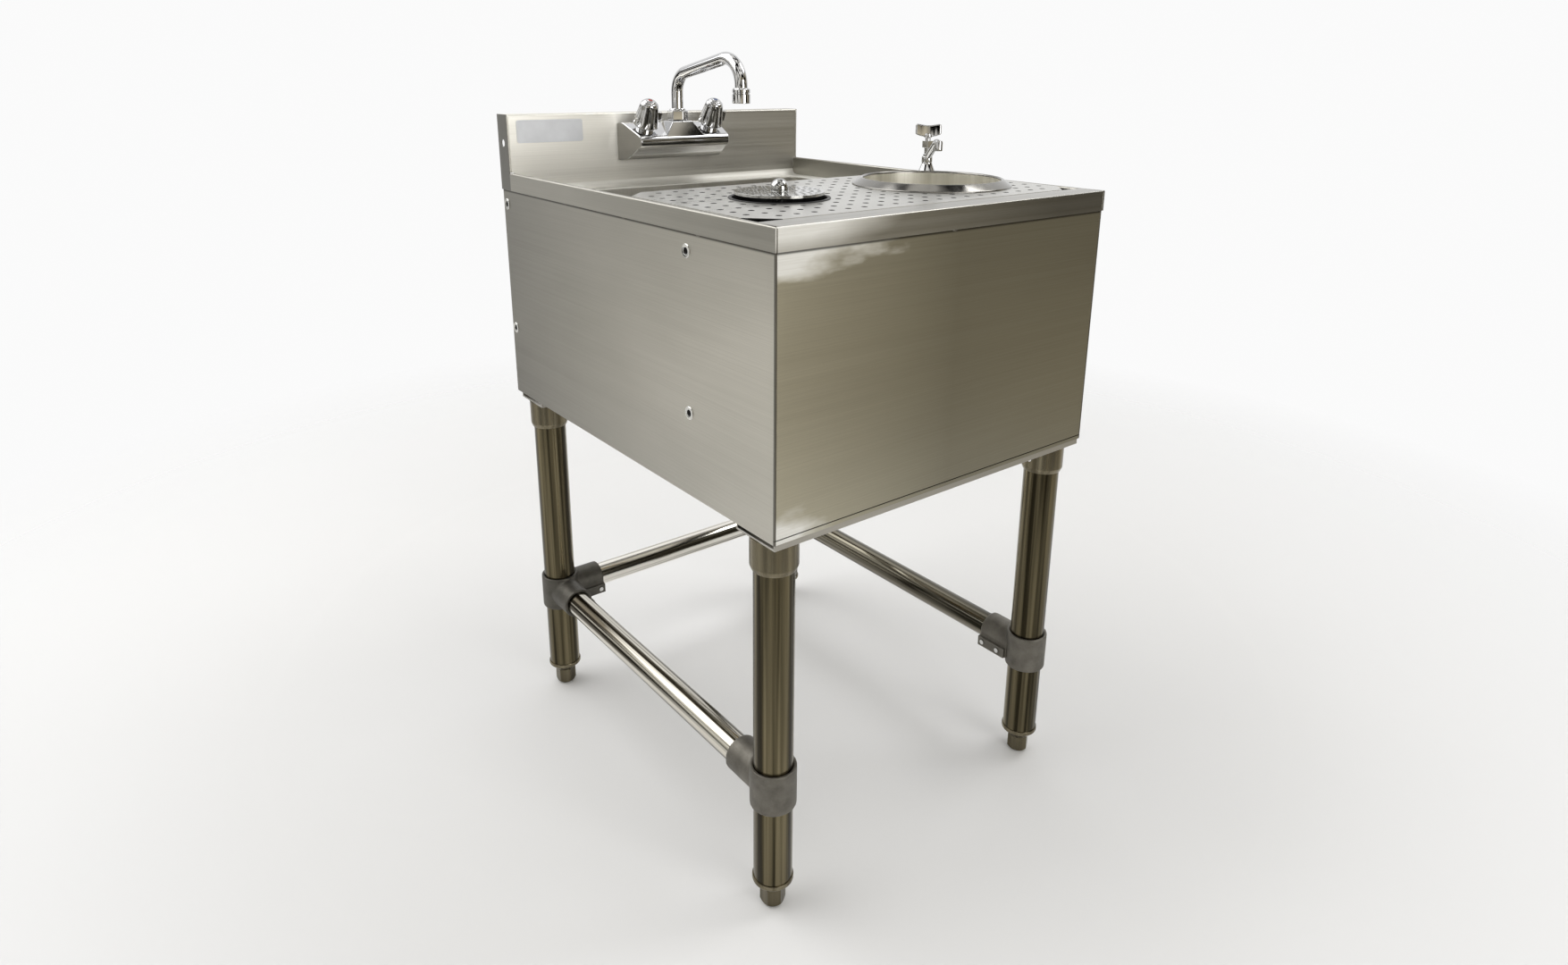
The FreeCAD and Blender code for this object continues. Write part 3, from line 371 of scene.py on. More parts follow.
class Finish(Nodes):
    """A node material with its principled shader."""

    def __init__(self, name, color, metallic, roughness):
        self.material = bpy.data.materials.new(name)
        self.material.use_nodes = True
        super().__init__(self.material.node_tree, "Object")
        self.shader = self.tree.nodes["Principled BSDF"]
        self.shader.inputs["Base Color"].default_value = (*color, 1)
        self.shader.inputs["Metallic"].default_value = metallic
        self.shader.inputs["Roughness"].default_value = roughness

    def show(self, socket, source):
        """Links a source to a socket of the shader."""
        self.feed(source, self.shader.inputs[socket])

    def axes(self):
        """The X, Y and Z of each point."""
        split = self.add("ShaderNodeSeparateXYZ")
        self.feed(self.place, split.inputs[0])
        return split.outputs["X"], split.outputs["Y"], split.outputs["Z"]

    def over(self, source, low, high, start, end):
        """A change from low to high between two places in millimetres."""
        return self.between(source, low, high, start * MM, end * MM)

    def ground_mask(self, patches, rag):
        """One where the sheet was ground after welding, with an edge as ragged as asked."""
        x, _, z = self.axes()
        ragged = self.between(self.grain(RAGGED_EDGE, 3.0, 0.55), -rag, rag)
        total = None
        for x_full, x_end, z_full, z_end in patches:
            over_x = self.over(x, 1.0, 0.0, x_full, x_end)
            over_z = self.over(z, 1.0, 0.0, z_full, z_end)
            both = self.sum_of("MULTIPLY", over_x, over_z)
            total = both if total is None else self.sum_of("MAXIMUM", total, both)
        return self.between(self.sum_of("ADD", total, ragged), 0.0, 1.0, 0.24, 0.72)

    def painted_seam_shade_mask(self):
        """High under the hem and, on the front, in the groove and along the upright ends, where shade is
        painted.
        """
        x, y, z = self.axes()
        soft = 0.2
        side = self.add("ShaderNodeMath", operation="ABSOLUTE")
        self.feed(x, side.inputs[0])
        under_hem = self.over(z, 0.0, 0.8, HEM - 3.0, HEM - 1.4)
        in_front = self.over(y, 1.0, 0.0, FRONT + 3.0, FRONT + 3.0 + soft)
        at_end = self.over(side.outputs["Value"], 0.0, 0.7, SKIN_X - 1.9, SKIN_X - 1.3)
        below_top = self.over(z, 1.0, 0.0, GROOVE_HIGH, GROOVE_HIGH + soft)
        above_foot = self.over(z, 0.0, 0.9, GROOVE_LOW - soft, GROOVE_LOW)
        on_front = self.sum_of("MAXIMUM", at_end, self.sum_of("MULTIPLY", below_top, above_foot))
        return self.sum_of("MAXIMUM", under_hem, self.sum_of("MULTIPLY", on_front, in_front))

    def relief(self, source, depth):
        bump = self.add("ShaderNodeBump", {"Distance": depth * MM})
        self.feed(source, bump.inputs["Height"])
        self.show("Normal", bump.outputs["Normal"])


# Grains in waves for each metre: those that run one way have their waves along it and across it
BRUSH_LINES, SLOW_CLOUDS = (3, 1100), (3, 9)
COARSE_LINES = tuple(waves / 6 for waves in BRUSH_LINES)
# The tube streak scale makes painted reflections along polished tubes; the tube lines are only a bump.
TUBE_REFLECTION_STREAKS, TUBE_LINES = (1.2, 105), (40, 1200)
RAGGED_EDGE, GRINDING = (22, 22, 60), (14, 700, 700)
# The second colour here is painted shade: dark under the hem, in the apron's groove and along the front
# corners.
BRUSH_SHADOW, PAINTED_SEAM_SHADE = (0.3, 0.29, 0.27), (0.02, 0.018, 0.013)
GROUND_DARK, GROUND_LIGHT = (0.9, 0.89, 0.85), (1.0, 1.0, 0.97)
GROUND_ROUGH, GROUND_METAL, BARE_METAL = 0.58, (0.55, 0.55, 0.55), (1.0, 1.0, 1.0)


def lengthwise(way, along, across):
    """The scale in X, Y and Z of a grain that runs one way."""
    return tuple(along if axis == way else across for axis in "xyz")


def brushed(name, way, dark, light, rough=(0.3, 0.4), painted_light_fade=None, ground=(), paint_seam_shade=False, cloud=None, metal=1.0,
            rag=0.2):
    """Satin stainless sheet: fine brush lines one way, slow clouds, painted light and shade fading across it
    and ground weld patches.

    The painted light fading is a direction, its two ends in metres and the share of the colour left at each
    end, and paints the sheet lighter or darker across it. A ground
    patch is given by its X and Z limits in millimetres, from where it is full to where it ends, and rag is
    how ragged its edge is. A sheet with shaded seams is painted dark under the hem, in its groove and at its
    ends, as shade. Cloud is another scale for the clouds."""
    finish = Finish(name, light, metal, rough[0])
    lines = finish.grain(lengthwise(way, *BRUSH_LINES), 4.0, 0.65)
    clouds = finish.grain(cloud or lengthwise(way, *SLOW_CLOUDS), 3.0, 0.55)
    coarse = finish.grain(lengthwise(way, *COARSE_LINES), 3.0, 0.6)
    color = finish.tint(clouds, dark, light)
    color = finish.blend(finish.between(lines, 0.0, 0.16), color, BRUSH_SHADOW, "MULTIPLY")
    roughness = finish.between(coarse, *rough)
    # Painted light and shade: the colour grows lighter or darker across the sheet along a direction.
    if painted_light_fade:
        direction, start, end, first_share, last_share = painted_light_fade
        share = finish.between(finish.along(direction), first_share, last_share, start, end)
        color = finish.blend(1.0, color, share, "MULTIPLY")
    if ground:
        scratches = finish.grain(GRINDING, 4.0, 0.7)
        mask = finish.ground_mask(ground, rag)
        color = finish.blend(mask, color, finish.tint(scratches, GROUND_DARK, GROUND_LIGHT))
        roughness = finish.blend(mask, roughness, GROUND_ROUGH)
        finish.show("Metallic", finish.blend(mask, BARE_METAL, GROUND_METAL))
    # Painted shade: dark under the hem, in the groove and along the front corners.
    if paint_seam_shade:
        color = finish.blend(finish.painted_seam_shade_mask(), color, PAINTED_SEAM_SHADE)
    finish.show("Base Color", color)
    finish.show("Roughness", roughness)
    finish.relief(lines, 0.004)
    return finish.material


def tube_with_painted_reflections(name, way, dark, light, rough=(0.16, 0.3), spread=(0.32, 0.68)):
    """Polished tube with dark and light streaks along its length: painted reflections."""
    finish = Finish(name, light, 1.0, rough[0])
    # Painted reflections: dark and light bands along the tube.
    streaks = finish.grain(lengthwise(way, *TUBE_REFLECTION_STREAKS), 3.0, 0.5)
    fine = finish.grain(lengthwise(way, *TUBE_LINES), 3.0, 0.6)
    finish.show("Base Color", finish.tint(streaks, dark, light, *spread))
    finish.show("Roughness", finish.between(streaks, rough[1], rough[0]))
    finish.relief(fine, 0.01)
    return finish.material


def mirror_plate(name, color, rough=0.05):
    """Chrome plate: bright, with faint handling haze."""
    finish = Finish(name, color, 1.0, rough)
    haze = finish.grain((60, 60, 60), 4.0, 0.6)
    finish.show("Roughness", finish.between(haze, rough * 0.7, rough * 1.8))
    finish.show("Base Color", finish.tint(haze, tuple(c * 0.94 for c in color), color))
    return finish.material


def sand_cast(name, dark, light):
    """Matt cast alloy with a pitted skin."""
    finish = Finish(name, light, 0.85, 0.5)
    skin = finish.grain((700, 700, 700), 4.0, 0.6)
    clouds = finish.grain((45, 45, 45), 3.0, 0.6)
    finish.show("Base Color", finish.tint(clouds, dark, light))
    finish.show("Roughness", finish.between(skin, 0.42, 0.6))
    finish.relief(skin, 0.12)
    return finish.material


def moulded(name, color, rough=(0.35, 0.55), metallic=0.0, depth=0.03):
    """Moulded or painted surface with a fine skin."""
    finish = Finish(name, color, metallic, rough[0])
    skin = finish.grain((900, 900, 900), 3.0, 0.5)
    clouds = finish.grain((30, 30, 30), 3.0, 0.5)
    finish.show("Roughness", finish.between(clouds, *rough))
    finish.show("Base Color", finish.tint(clouds, tuple(c * 0.85 for c in color), color))
    finish.relief(skin, depth)
    return finish.material


FRONT_GROUND = ((-215, -40, 704, 672), (-224, -130, 446, 476))
HEM_GROUND = ((-190, -40, 731, 690),)
RIGHT, BACK, FORWARD_AND_UP = (1, 0, 0), (0, 1, 0), (0, -0.8, 0.6)
POLISH = (0.08, 0.18)
# The fading shares given to some sheets below paint light and shade across them.
side_steel = brushed("side_steel", "y", (0.53, 0.514, 0.46), (0.61, 0.59, 0.535), (0.32, 0.38),
                     (FORWARD_AND_UP, 0.05, 0.62, 0.4, 1.22), paint_seam_shade=True)
side_hem_steel = brushed("side_hem_steel", "y", (0.44, 0.428, 0.385), (0.55, 0.535, 0.485), (0.34, 0.42))
# A much darker copy of the steel for the left end cap: painted shade.
left_end_shaded_steel = brushed("left_end_shaded_steel", "z", (0.2, 0.196, 0.18), (0.27, 0.265, 0.245), (0.34, 0.42))
front_steel = brushed("front_steel", "x", (0.645, 0.61, 0.49), (0.695, 0.66, 0.53), (0.33, 0.36),
                      (RIGHT, -0.23, 0.0, 0.98, 0.5), FRONT_GROUND, True)
splash_steel = brushed("splash_steel", "x", (0.86, 0.84, 0.775), (0.96, 0.94, 0.87), (0.34, 0.46),
                       (RIGHT, -0.08, 0.08, 1.0, 0.66))
hem_steel = brushed("hem_steel", "x", (0.56, 0.54, 0.48), (0.66, 0.64, 0.58), (0.3, 0.4),
                    (RIGHT, -0.2, 0.15, 0.9, 0.34), HEM_GROUND, rag=0.03)
deck_steel = brushed("deck_steel", "x", (0.42, 0.41, 0.38), (0.49, 0.48, 0.45), (0.28, 0.4))
panel_steel = brushed("panel_steel", "x", (0.54, 0.53, 0.5), (0.62, 0.615, 0.585), (0.26, 0.34), metal=0.85)
# A lighter copy of the steel for the inside of the well: painted light.
lit_well_steel = brushed("lit_well_steel", "z", (0.62, 0.6, 0.52), (1.0, 0.98, 0.9), (0.3, 0.4),
                     cloud=(42, 42, 1.5), metal=0.7)
# Near white on the deck strip and cove behind the panel, which lie in the backsplash's shadow: painted light;
# its fading darkens the deck under the panel: painted shade.
lit_and_shaded_pan_steel = brushed("lit_and_shaded_pan_steel", "x", (0.86, 0.85, 0.80), (0.97, 0.96, 0.91), (0.5, 0.6),
                    (BACK, -0.02, 0.06, 0.4, 1.0), metal=0.3)
rim_steel = brushed("rim_steel", "y", (0.36, 0.35, 0.324), (0.43, 0.42, 0.386), (0.46, 0.56))
bowl_steel = brushed("bowl_steel", "z", (0.78, 0.76, 0.70), (0.92, 0.90, 0.83), (0.3, 0.4),
                     (BACK, -0.06, 0.1, 0.5, 1.0))
hidden_steel = brushed("hidden_steel", "x", (0.44, 0.43, 0.40), (0.56, 0.54, 0.50), (0.35, 0.5))
# The tube finishes below are copies of one polished steel, each made darker or lighter for where its piece
# stands: painted light and shade.
leg_steel = tube_with_painted_reflections("leg_steel", "z", (0.03, 0.025, 0.014), (0.215, 0.182, 0.11), spread=(0.38, 0.62))
side_rail_steel = tube_with_painted_reflections("side_rail_steel", "y", (0.07, 0.06, 0.042), (0.74, 0.71, 0.63), POLISH,
                                (0.42, 0.56))
right_rail_shaded_steel = tube_with_painted_reflections("right_rail_shaded_steel", "y", (0.02, 0.018, 0.012), (0.25, 0.23, 0.18), POLISH,
                                 (0.42, 0.58))
rear_rail_steel = tube_with_painted_reflections("rear_rail_steel", "x", (0.12, 0.11, 0.085), (0.9, 0.87, 0.8), POLISH,
                                (0.42, 0.56))
socket_steel = tube_with_painted_reflections("socket_steel", "z", (0.13, 0.112, 0.074), (0.27, 0.238, 0.165), (0.2, 0.32))
foot_steel = tube_with_painted_reflections("foot_steel", "z", (0.08, 0.068, 0.044), (0.18, 0.157, 0.106), (0.2, 0.32))
cast_grey = sand_cast("cast_grey", (0.125, 0.117, 0.10), (0.21, 0.198, 0.172))
# A darker copy of the cast grey for the rear fittings: painted shade.
cast_grey_shaded = sand_cast("cast_grey_shaded", (0.085, 0.081, 0.07), (0.14, 0.132, 0.115))
bright_screw = mirror_plate("bright_screw", (0.72, 0.72, 0.7), 0.16)
chrome = mirror_plate("chrome", (0.62, 0.62, 0.625))
rinser_bright = mirror_plate("rinser_bright", (0.46, 0.46, 0.45), 0.06)
weld_dark = mirror_plate("weld_dark", (0.2, 0.19, 0.17), 0.3)
# A darker copy of the steel for the well's rim: painted shade.
shaded_well_rim = mirror_plate("shaded_well_rim", (0.27, 0.262, 0.245), 0.13)
tap_brass = moulded("tap_brass", (0.62, 0.46, 0.2), (0.25, 0.4), 1.0, 0.02)
index_red = moulded("index_red", (0.36, 0.05, 0.04))
index_blue = moulded("index_blue", (0.05, 0.08, 0.2))
rinser_black = moulded("rinser_black", (0.012, 0.012, 0.012))
plate_grey = moulded("plate_grey", (0.86, 0.88, 0.92), (0.3, 0.4), 0.25, 0.01)
# Near black for the insides of holes and bores: painted shade.
painted_hole_shade = moulded("painted_hole_shade", (0.05, 0.05, 0.05), (0.3, 0.5), 0.6)

CAD_FINISHES = {
    "brushed_stainless": hidden_steel, "bare_plate": plate_grey, "polished_tube": leg_steel,
    "socket_steel": socket_steel, "cast_fitting": cast_grey, "zinc_screw": bright_screw, "chrome": chrome,
    "brass_nut": tap_brass, "hot_index": index_red, "cold_index": index_blue, "black_plastic": rinser_black,
    "rinser_steel": rinser_bright}
for row in frame["record"]["subparts"]:
    skin = frame["nodes"][row["node"]].data.materials
    skin.clear()
    skin.append(CAD_FINISHES[row["material_slot"]])


# Kept shapes, for pieces that repeat
def keep():
    """Puts the piece in hand away and keeps its shape for copies."""
    piece = settle()
    shape = piece.data
    bpy.data.objects.remove(piece)
    return shape


def bring(shape, move=(0, 0, 0), mirror=False):
    """Takes a fresh copy of a kept shape in hand, moved or mirrored left to right."""
    free_hand()
    piece = bpy.data.objects.new("copy", shape.copy())
    scene.collection.objects.link(piece)
    if mirror:
        piece.data.transform(MIRROR)
        piece.data.flip_normals()
    piece.data.transform(Matrix.Translation(at(*move)))
    piece.select_set(True)
    bpy.context.view_layer.objects.active = piece


def thicken(amount, spot, way):
    """Gives a sheet its thickness behind its outer face, the one nearest a spot that looks a given way."""
    open_mesh()
    tidy_mesh()
    shape = bmesh.from_edit_mesh(bpy.context.object.data)
    place = bpy.context.object.matrix_world.inverted() @ at(*spot)
    outer = min(shape.faces, key=lambda face: (face.calc_center_median() - place).length)
    if outer.normal.dot(Vector(way)) < 0:
        bpy.ops.mesh.flip_normals()
    use("SOLIDIFY", thickness=amount * MM, offset=-1, use_even_offset=True)


def arc(centre, radius, start, end, steps):
    """Points on an arc in a plane, angles in degrees."""
    angles = [math.radians(start + (end - start) * step / steps) for step in range(steps + 1)]
    return [(centre[0] + radius * math.cos(angle), centre[1] + radius * math.sin(angle)) for angle in angles]


# Folded sheet
def rim_and_deck():
    """The folded rim with its hem on three sides, and the deck inside it with the bowl's opening."""
    hem_end = SKIN_X - 1.3
    rear_return, bend, upright = 24, 1.9, 0.8
    flat_sheet(-INNER_X, INNER_X, INNER_FRONT, REAR, DECK)
    bpy.ops.mesh.delete(type="ONLY_FACE")
    flat_sheet(-BOWL_X, BOWL_X, BOWL_FRONT, BOWL_REAR, DECK)
    bpy.ops.mesh.bevel(offset=OPENING_CORNER * MM, segments=7, affect="VERTICES")
    choose("FACE", lambda x, y, z: True)
    bpy.ops.mesh.delete(type="ONLY_FACE")
    bpy.ops.mesh.select_mode(type="EDGE")
    all_of_it()
    bpy.ops.mesh.bridge_edge_loops()
    choose("EDGE", lambda x, y, z: near(y, REAR))
    pull_edges(0, 0, -rear_return)
    deck = settle()
    flat_sheet(-HALF_WIDTH, HALF_WIDTH, FRONT, SPLASH, RIM)
    for x in (-hem_end, -INNER_X, INNER_X, hem_end):
        score((x, 0, 0), (1, 0, 0))
    score((0, INNER_FRONT, 0), (0, 1, 0))
    choose("FACE", lambda x, y, z: abs(x) < INNER_X and y > INNER_FRONT)
    bpy.ops.mesh.delete(type="FACE")

    def inner(x, y):
        return (y > INNER_FRONT and near(abs(x), INNER_X)) or (near(y, INNER_FRONT) and abs(x) < INNER_X)

    choose("EDGE", lambda x, y, z: inner(x, y))
    pull_edges(0, 0, DECK - RIM)
    choose("EDGE", lambda x, y, z: near(abs(x), HALF_WIDTH))
    pull_edges(0, 0, HEM - RIM)
    choose("EDGE", lambda x, y, z: near(y, FRONT) and near(z, RIM) and abs(x) < hem_end)
    pull_edges(0, 0, HEM - RIM)
    choose("EDGE", lambda x, y, z: near(z, RIM) and (
        inner(x, y) or near(abs(x), HALF_WIDTH) or (near(y, FRONT) and abs(x) < hem_end)))
    round_edges(bend, 4)
    settle()
    join_with(deck)
    thicken(SHEET, (0, FRONT + 15, RIM), (0, 0, 1))
    layers = [deck_steel, side_hem_steel, hem_steel, rim_steel, lit_and_shaded_pan_steel]
    piece = hand_over("rim_and_deck", "station", layers, ["top_sheet"], 0.3, 1)
    # The faces of the one folded sheet take copies of its steel by which way they face and where they lie:
    # the brush lines run along each face, and the lighter and darker colours are painted light and shade.
    for face in piece.data.polygons:
        middle = face.center / MM
        shown = deck_steel
        if middle.z < DECK + 1 and middle.y < SPLASH:
            shown = lit_and_shaded_pan_steel
        elif abs(face.normal.x) > upright:
            shown = side_hem_steel
        elif face.normal.y < -upright and middle.y < FRONT + 5:
            shown = hem_steel
        elif abs(middle.x) > INNER_X:
            shown = rim_steel
        face.material_index = layers.index(shown)


def backsplash_sheet():
    """The upright back with a cove at its foot, a bent top and a short return down the back."""
    cove, bend, rear_return, step_up = 8, 2.5, 16, RIM + 0.6
    section = arc((SPLASH - cove, DECK + 0.3 + cove), cove, -90, 0, 6)
    section += [(SPLASH, step_up)]
    section += arc((SPLASH + bend, SPLASH_TOP - bend), bend, 180, 90, 4)
    section += arc((REAR - bend, SPLASH_TOP - bend), bend, 90, 0, 4)
    section += [(REAR, SPLASH_TOP - rear_return)]
    draw_line([(-SKIN_X, y, z) for y, z in section])
    choose("EDGE", lambda x, y, z: True)
    pull_edges(2 * SKIN_X, 0, 0)
    for x in (-INNER_X, INNER_X):
        score((x, 0, 0), (1, 0, 0))
    choose("FACE", lambda x, y, z: abs(x) > INNER_X and z < step_up)
    bpy.ops.mesh.delete(type="FACE")
    thicken(SHEET, (0, SPLASH, SPLASH_TOP - 30), (0, -1, 0))
    piece = hand_over("backsplash_sheet", "station", [splash_steel, lit_and_shaded_pan_steel],
                      ["backsplash"], 0.3, 1)
    # The cove and foot of the backsplash take the near white deck steel: painted light.
    second_finish(piece, lambda middle, normal: middle.z < RIM - 12)


def weld_bead():
    """A bead of weld down each end of the backsplash, modelled once with its ripples and mirrored."""
    radius, ripple, pitch, count = 1.05, 0.08, 2.3, 30
    ripples = [(radius + ripple * math.sin(step * 1.9), RIM + 1 + step * pitch) for step in range(count)]
    turn([(0, RIM + 0.6), *ripples, (0, SPLASH_TOP - 1.2)], (-SKIN_X + 0.4, SPLASH - 0.1), 12)
    copy_to(MIRROR)
    hand_over("weld_bead", "station", splash_steel, sharp=70)


def corner_weld():
    """A smooth weld that closes the hem at both front corners."""
    turn([(0, HEM + 0.2), (1.1, HEM + 0.6), (1.2, HEM + 4), (1.2, RIM - 4), (1.0, RIM - 1.6), (0, RIM - 1.2)],
         (-HALF_WIDTH + 1.5, FRONT + 1.4), 16)
    copy_to(MIRROR)
    hand_over("corner_weld", "station", side_hem_steel, sharp=70)


def tack_welds():
    """Flat drops of weld under the hem, three on each side and one in front."""
    drop_size, rear_drop, others, height = (1.0, 3.4, 1.2), 107, (-135, -275), HEM - 0.4
    free_hand()
    bpy.ops.mesh.primitive_uv_sphere_add(segments=16, ring_count=8, radius=MM, location=(0, 0, 0))
    open_mesh()
    stretch(*drop_size)
    drop = keep()
    bring(drop, (-SKIN_X - 0.1, rear_drop, height))
    copy_to(*((0, move, 0) for move in others))
    copy_to(MIRROR)
    sides = bpy.context.object
    bring(drop)
    settle((-10, FRONT + 1.1, height), aim=math.pi / 2)
    join_with(sides)
    hand_over("tack_welds", "station", weld_dark, sharp=70)


def plate_on_splash():
    """The bare plate: a thin sheet with rounded corners."""
    left, right, low, high, thick, corner = -216.1, -126.1, 765, 793, 0.6, 3
    flat_sheet(left, right, low, high, 0)
    bpy.ops.mesh.bevel(offset=corner * MM, segments=5, affect="VERTICES")
    all_of_it()
    pull_face(0, 0, -thick)
    tidy_mesh()
    settle((0, SPLASH - thick, 0), lean=math.pi / 2)
    hand_over("plate_on_splash", "station", plate_grey, ["rating_plate"], 0.15, 2)


def traced_piece(node, finish, edge, steps=2, body="station"):
    """Shows a solid in its own shape, with its edges rounded."""
    trace(node)
    tidy_mesh()
    return hand_over("shown_" + node, body, finish, [node], edge, steps)


def front_sheet():
    """The front apron, with a groove where its bottom strip is folded on."""
    groove_depth = 0.7
    trace("front_apron")
    tidy_mesh()
    for z in (GROOVE_LOW, GROOVE_HIGH):
        score((0, 0, z), (0, 0, 1))
    choose("FACE", lambda x, y, z: GROOVE_LOW < z < GROOVE_HIGH and y < FRONT + 1.3)
    pull_face(0, groove_depth, 0)
    hand_over("front_sheet", "station", front_steel, ["front_apron"], 0.25, 2)


def side_inserts():
    """Threaded inserts in both sides: a bright flange round a threaded bore painted dark as shade."""
    crest, half_pitch = 3.0, 0.5
    thread = [(crest if ridge % 2 else INSERT_BORE, -0.2 - half_pitch * ridge) for ridge in range(19)]
    turn([(4.3, 0.9), (3.6, 0.5), *thread, (0, -9.6), (0, -10.2), (5.2, -10.2), (5.2, 0), (7, 0), (7, 0.5),
          (6.6, 0.9), (4.3, 0.9)], steps=36)
    settle((-SKIN_X, INSERT_Y[0], INSERT_Z[0]), lean=math.pi / 2, aim=-math.pi / 2)
    forward, down = INSERT_Y[1] - INSERT_Y[0], INSERT_Z[1] - INSERT_Z[0]
    copy_to((0, forward, 0), (0, 0, down), (0, forward, down))
    copy_to(MIRROR)
    piece = hand_over("side_inserts", "station", [bright_screw, painted_hole_shade],
                      ["threaded_inserts"])

    def in_bore(middle, normal):
        reach = min(math.hypot(middle.y - y, middle.z - z) for y in INSERT_Y for z in INSERT_Z)
        return reach < INSERT_BORE + 0.1 and abs(middle.x) < SKIN_X + 0.55

    second_finish(piece, in_bore)


# Legs, rails and feet
def leg_set():
    """Leg tubes, the sockets they stand in, and the tapered foot sockets."""
    home = LEGS["fl"]
    others = [move for key, move in LEG_MOVES.items() if key != "fl"]
    pipe(LEG_BORE, LEG_RADIUS, LEG_LOW, LEG_TOP, home, 64)
    leg = keep()
    for key, move in LEG_MOVES.items():
        bring(leg, move)
        hand_over("leg_tube_" + key, "station", leg_steel, ["leg_" + key])
    turn([(20.8, -34.6), (21.6, -35), (22.2, -34.8), (22.6, -34), (24.0, -30.4), (24.15, -29), (24.15, 0),
          (20.8, 0), (20.8, -34.6)], home, 64, CHANNEL_BOTTOM)
    copy_to(*others)
    hand_over("shown_leg_sockets", "station", socket_steel, ["leg_sockets"])
    turn([(8.4, -14), (12.9, -14), (13.5, -13.5), (20.6, -5.6), (21.6, -5), (22.0, -4), (22.0, -1), (21.4, 0),
          (8.4, 0), (8.4, -14)], home, 64, LEG_LOW)
    copy_to(*others)
    hand_over("shown_foot_sockets", "station", socket_steel, ["foot_sockets"])


def rails():
    """The three stretcher tubes between the rail fittings."""
    left, rear = LEGS["rl"]
    pipe(RAIL_BORE, RAIL_RADIUS, 0, rear - LEGS["fl"][1] - 2 * RAIL_START, steps=56)
    settle((left, rear - RAIL_START, RAIL_HEIGHT), lean=math.pi / 2)
    side = keep()
    bring(side)
    hand_over("left_rail_tube", "station", side_rail_steel, ["left_rail"])
    # The right rail takes a much darker copy of the tube steel: painted shade.
    bring(side, mirror=True)
    hand_over("right_rail_tube", "station", right_rail_shaded_steel, ["right_rail"])
    pipe(RAIL_BORE, RAIL_RADIUS, 0, LEGS["rr"][0] - left - 2 * RAIL_START, steps=56)
    settle((left + RAIL_START, rear, RAIL_HEIGHT), lean=math.pi / 2, aim=math.pi / 2)
    hand_over("rear_rail_tube", "station", rear_rail_steel, ["rear_rail"])


def rail_castings():
    """Cast rail fittings with soft edges, the left ones mirrored for the right side."""
    # The rear fittings take the darker copy of the cast grey: painted shade.
    for row, skin in (("f", cast_grey), ("r", cast_grey_shaded)):
        trace("rail_fitting_" + row + "l")
        tidy_mesh()
        use("REMESH", mode="VOXEL", voxel_size=MM)
        use("SMOOTH", factor=0.5, iterations=7)
        use("DECIMATE", ratio=0.4)
        shape = keep()
        for side in "lr":
            bring(shape, mirror=side == "r")
            hand_over("rail_casting_" + row + side, "station", skin,
                      ["rail_fitting_" + row + side], sharp=70)


def screw_feet():
    """Hexagonal feet on threaded stems, modelled once and copied."""
    trace("foot_fl")
    tidy_mesh()
    foot = keep()
    for key, move in LEG_MOVES.items():
        bring(foot, move)
        hand_over("hex_foot_" + key, "foot_" + key, foot_steel, ["foot_" + key], 0.5, 2)


# Faucet
def faucet_casting():
    """The faucet's body: a wedge with a round nose, slanted ends, a flared middle and two shanks."""
    half_length, end_slant, nose_radius, foot = 78, (51.5, -7), 9.5, 738
    flare_half, flare_deep, flare_drop, flare_spread, flare_lean = 15, 13, 23, 2.2, 7.6
    shank_bore, shank_radius, shank_length, shank_height = 6.5, 10.4, 30, 762
    low = (SLOPE_TOP[0] - SLOPE_LENGTH * math.cos(LEAN), SLOPE_TOP[1] - SLOPE_LENGTH * math.sin(LEAN))
    nose = (low[0] + nose_radius * math.sin(LEAN), low[1] - nose_radius * math.cos(LEAN))
    section = [(SPLASH, SLOPE_TOP[1]), SLOPE_TOP, *arc(nose, nose_radius, 90 + math.degrees(LEAN), 262, 12)]
    section += [(224, foot + 10), (238, foot + 2), (SPLASH, foot)]
    draw_line([(-half_length, y, z) for y, z in section])
    all_of_it()
    bpy.ops.mesh.edge_face_add()
    pull_face(2 * half_length, 0, 0)
    tidy_mesh()
    for side in (-1, 1):
        trim(((half_length - 2) * side, SPLASH, 0), (end_slant[0] * side, end_slant[1], 0))
    tidy_mesh()
    soften(1.6)
    body = settle()
    flat_sheet(-flare_half, flare_half, SPOUT_Y - flare_deep, SPOUT_Y + flare_deep, BOSS_TOP)
    pull_face(0, 0, -flare_drop)
    stretch(flare_spread, 1, 1)
    choose("EDGE", lambda x, y, z: z < BOSS_TOP - 19 and near(y, SPOUT_Y - flare_deep))
    slide(0, -flare_lean, 0)
    tidy_mesh()
    soften(1.2)
    flare = settle()
    turn([(0, -19), (14, -19), (14, -3), (13.2, -0.6), (12.4, 0), (0, 0)], (0, SPOUT_Y), 48, BOSS_TOP)
    boss = settle()
    pipe(shank_bore, shank_radius, 0, shank_length, steps=40)
    settle((-VALVE_X, SPLASH - 2, shank_height), lean=-math.pi / 2)
    copy_to((2 * VALVE_X, 0, 0))
    join_with(body, flare, boss)
    hand_over("faucet_casting", "station", chrome, ["faucet_body"], sharp=28)


def valve_place(height=0.0):
    """The Y and Z of a point above the middle of the faucet's slope, square to it."""
    y = SLOPE_TOP[0] - SLOPE_LENGTH / 2 * math.cos(LEAN) - height * math.sin(LEAN)
    z = SLOPE_TOP[1] - SLOPE_LENGTH / 2 * math.sin(LEAN) + height * math.cos(LEAN)
    return y, z


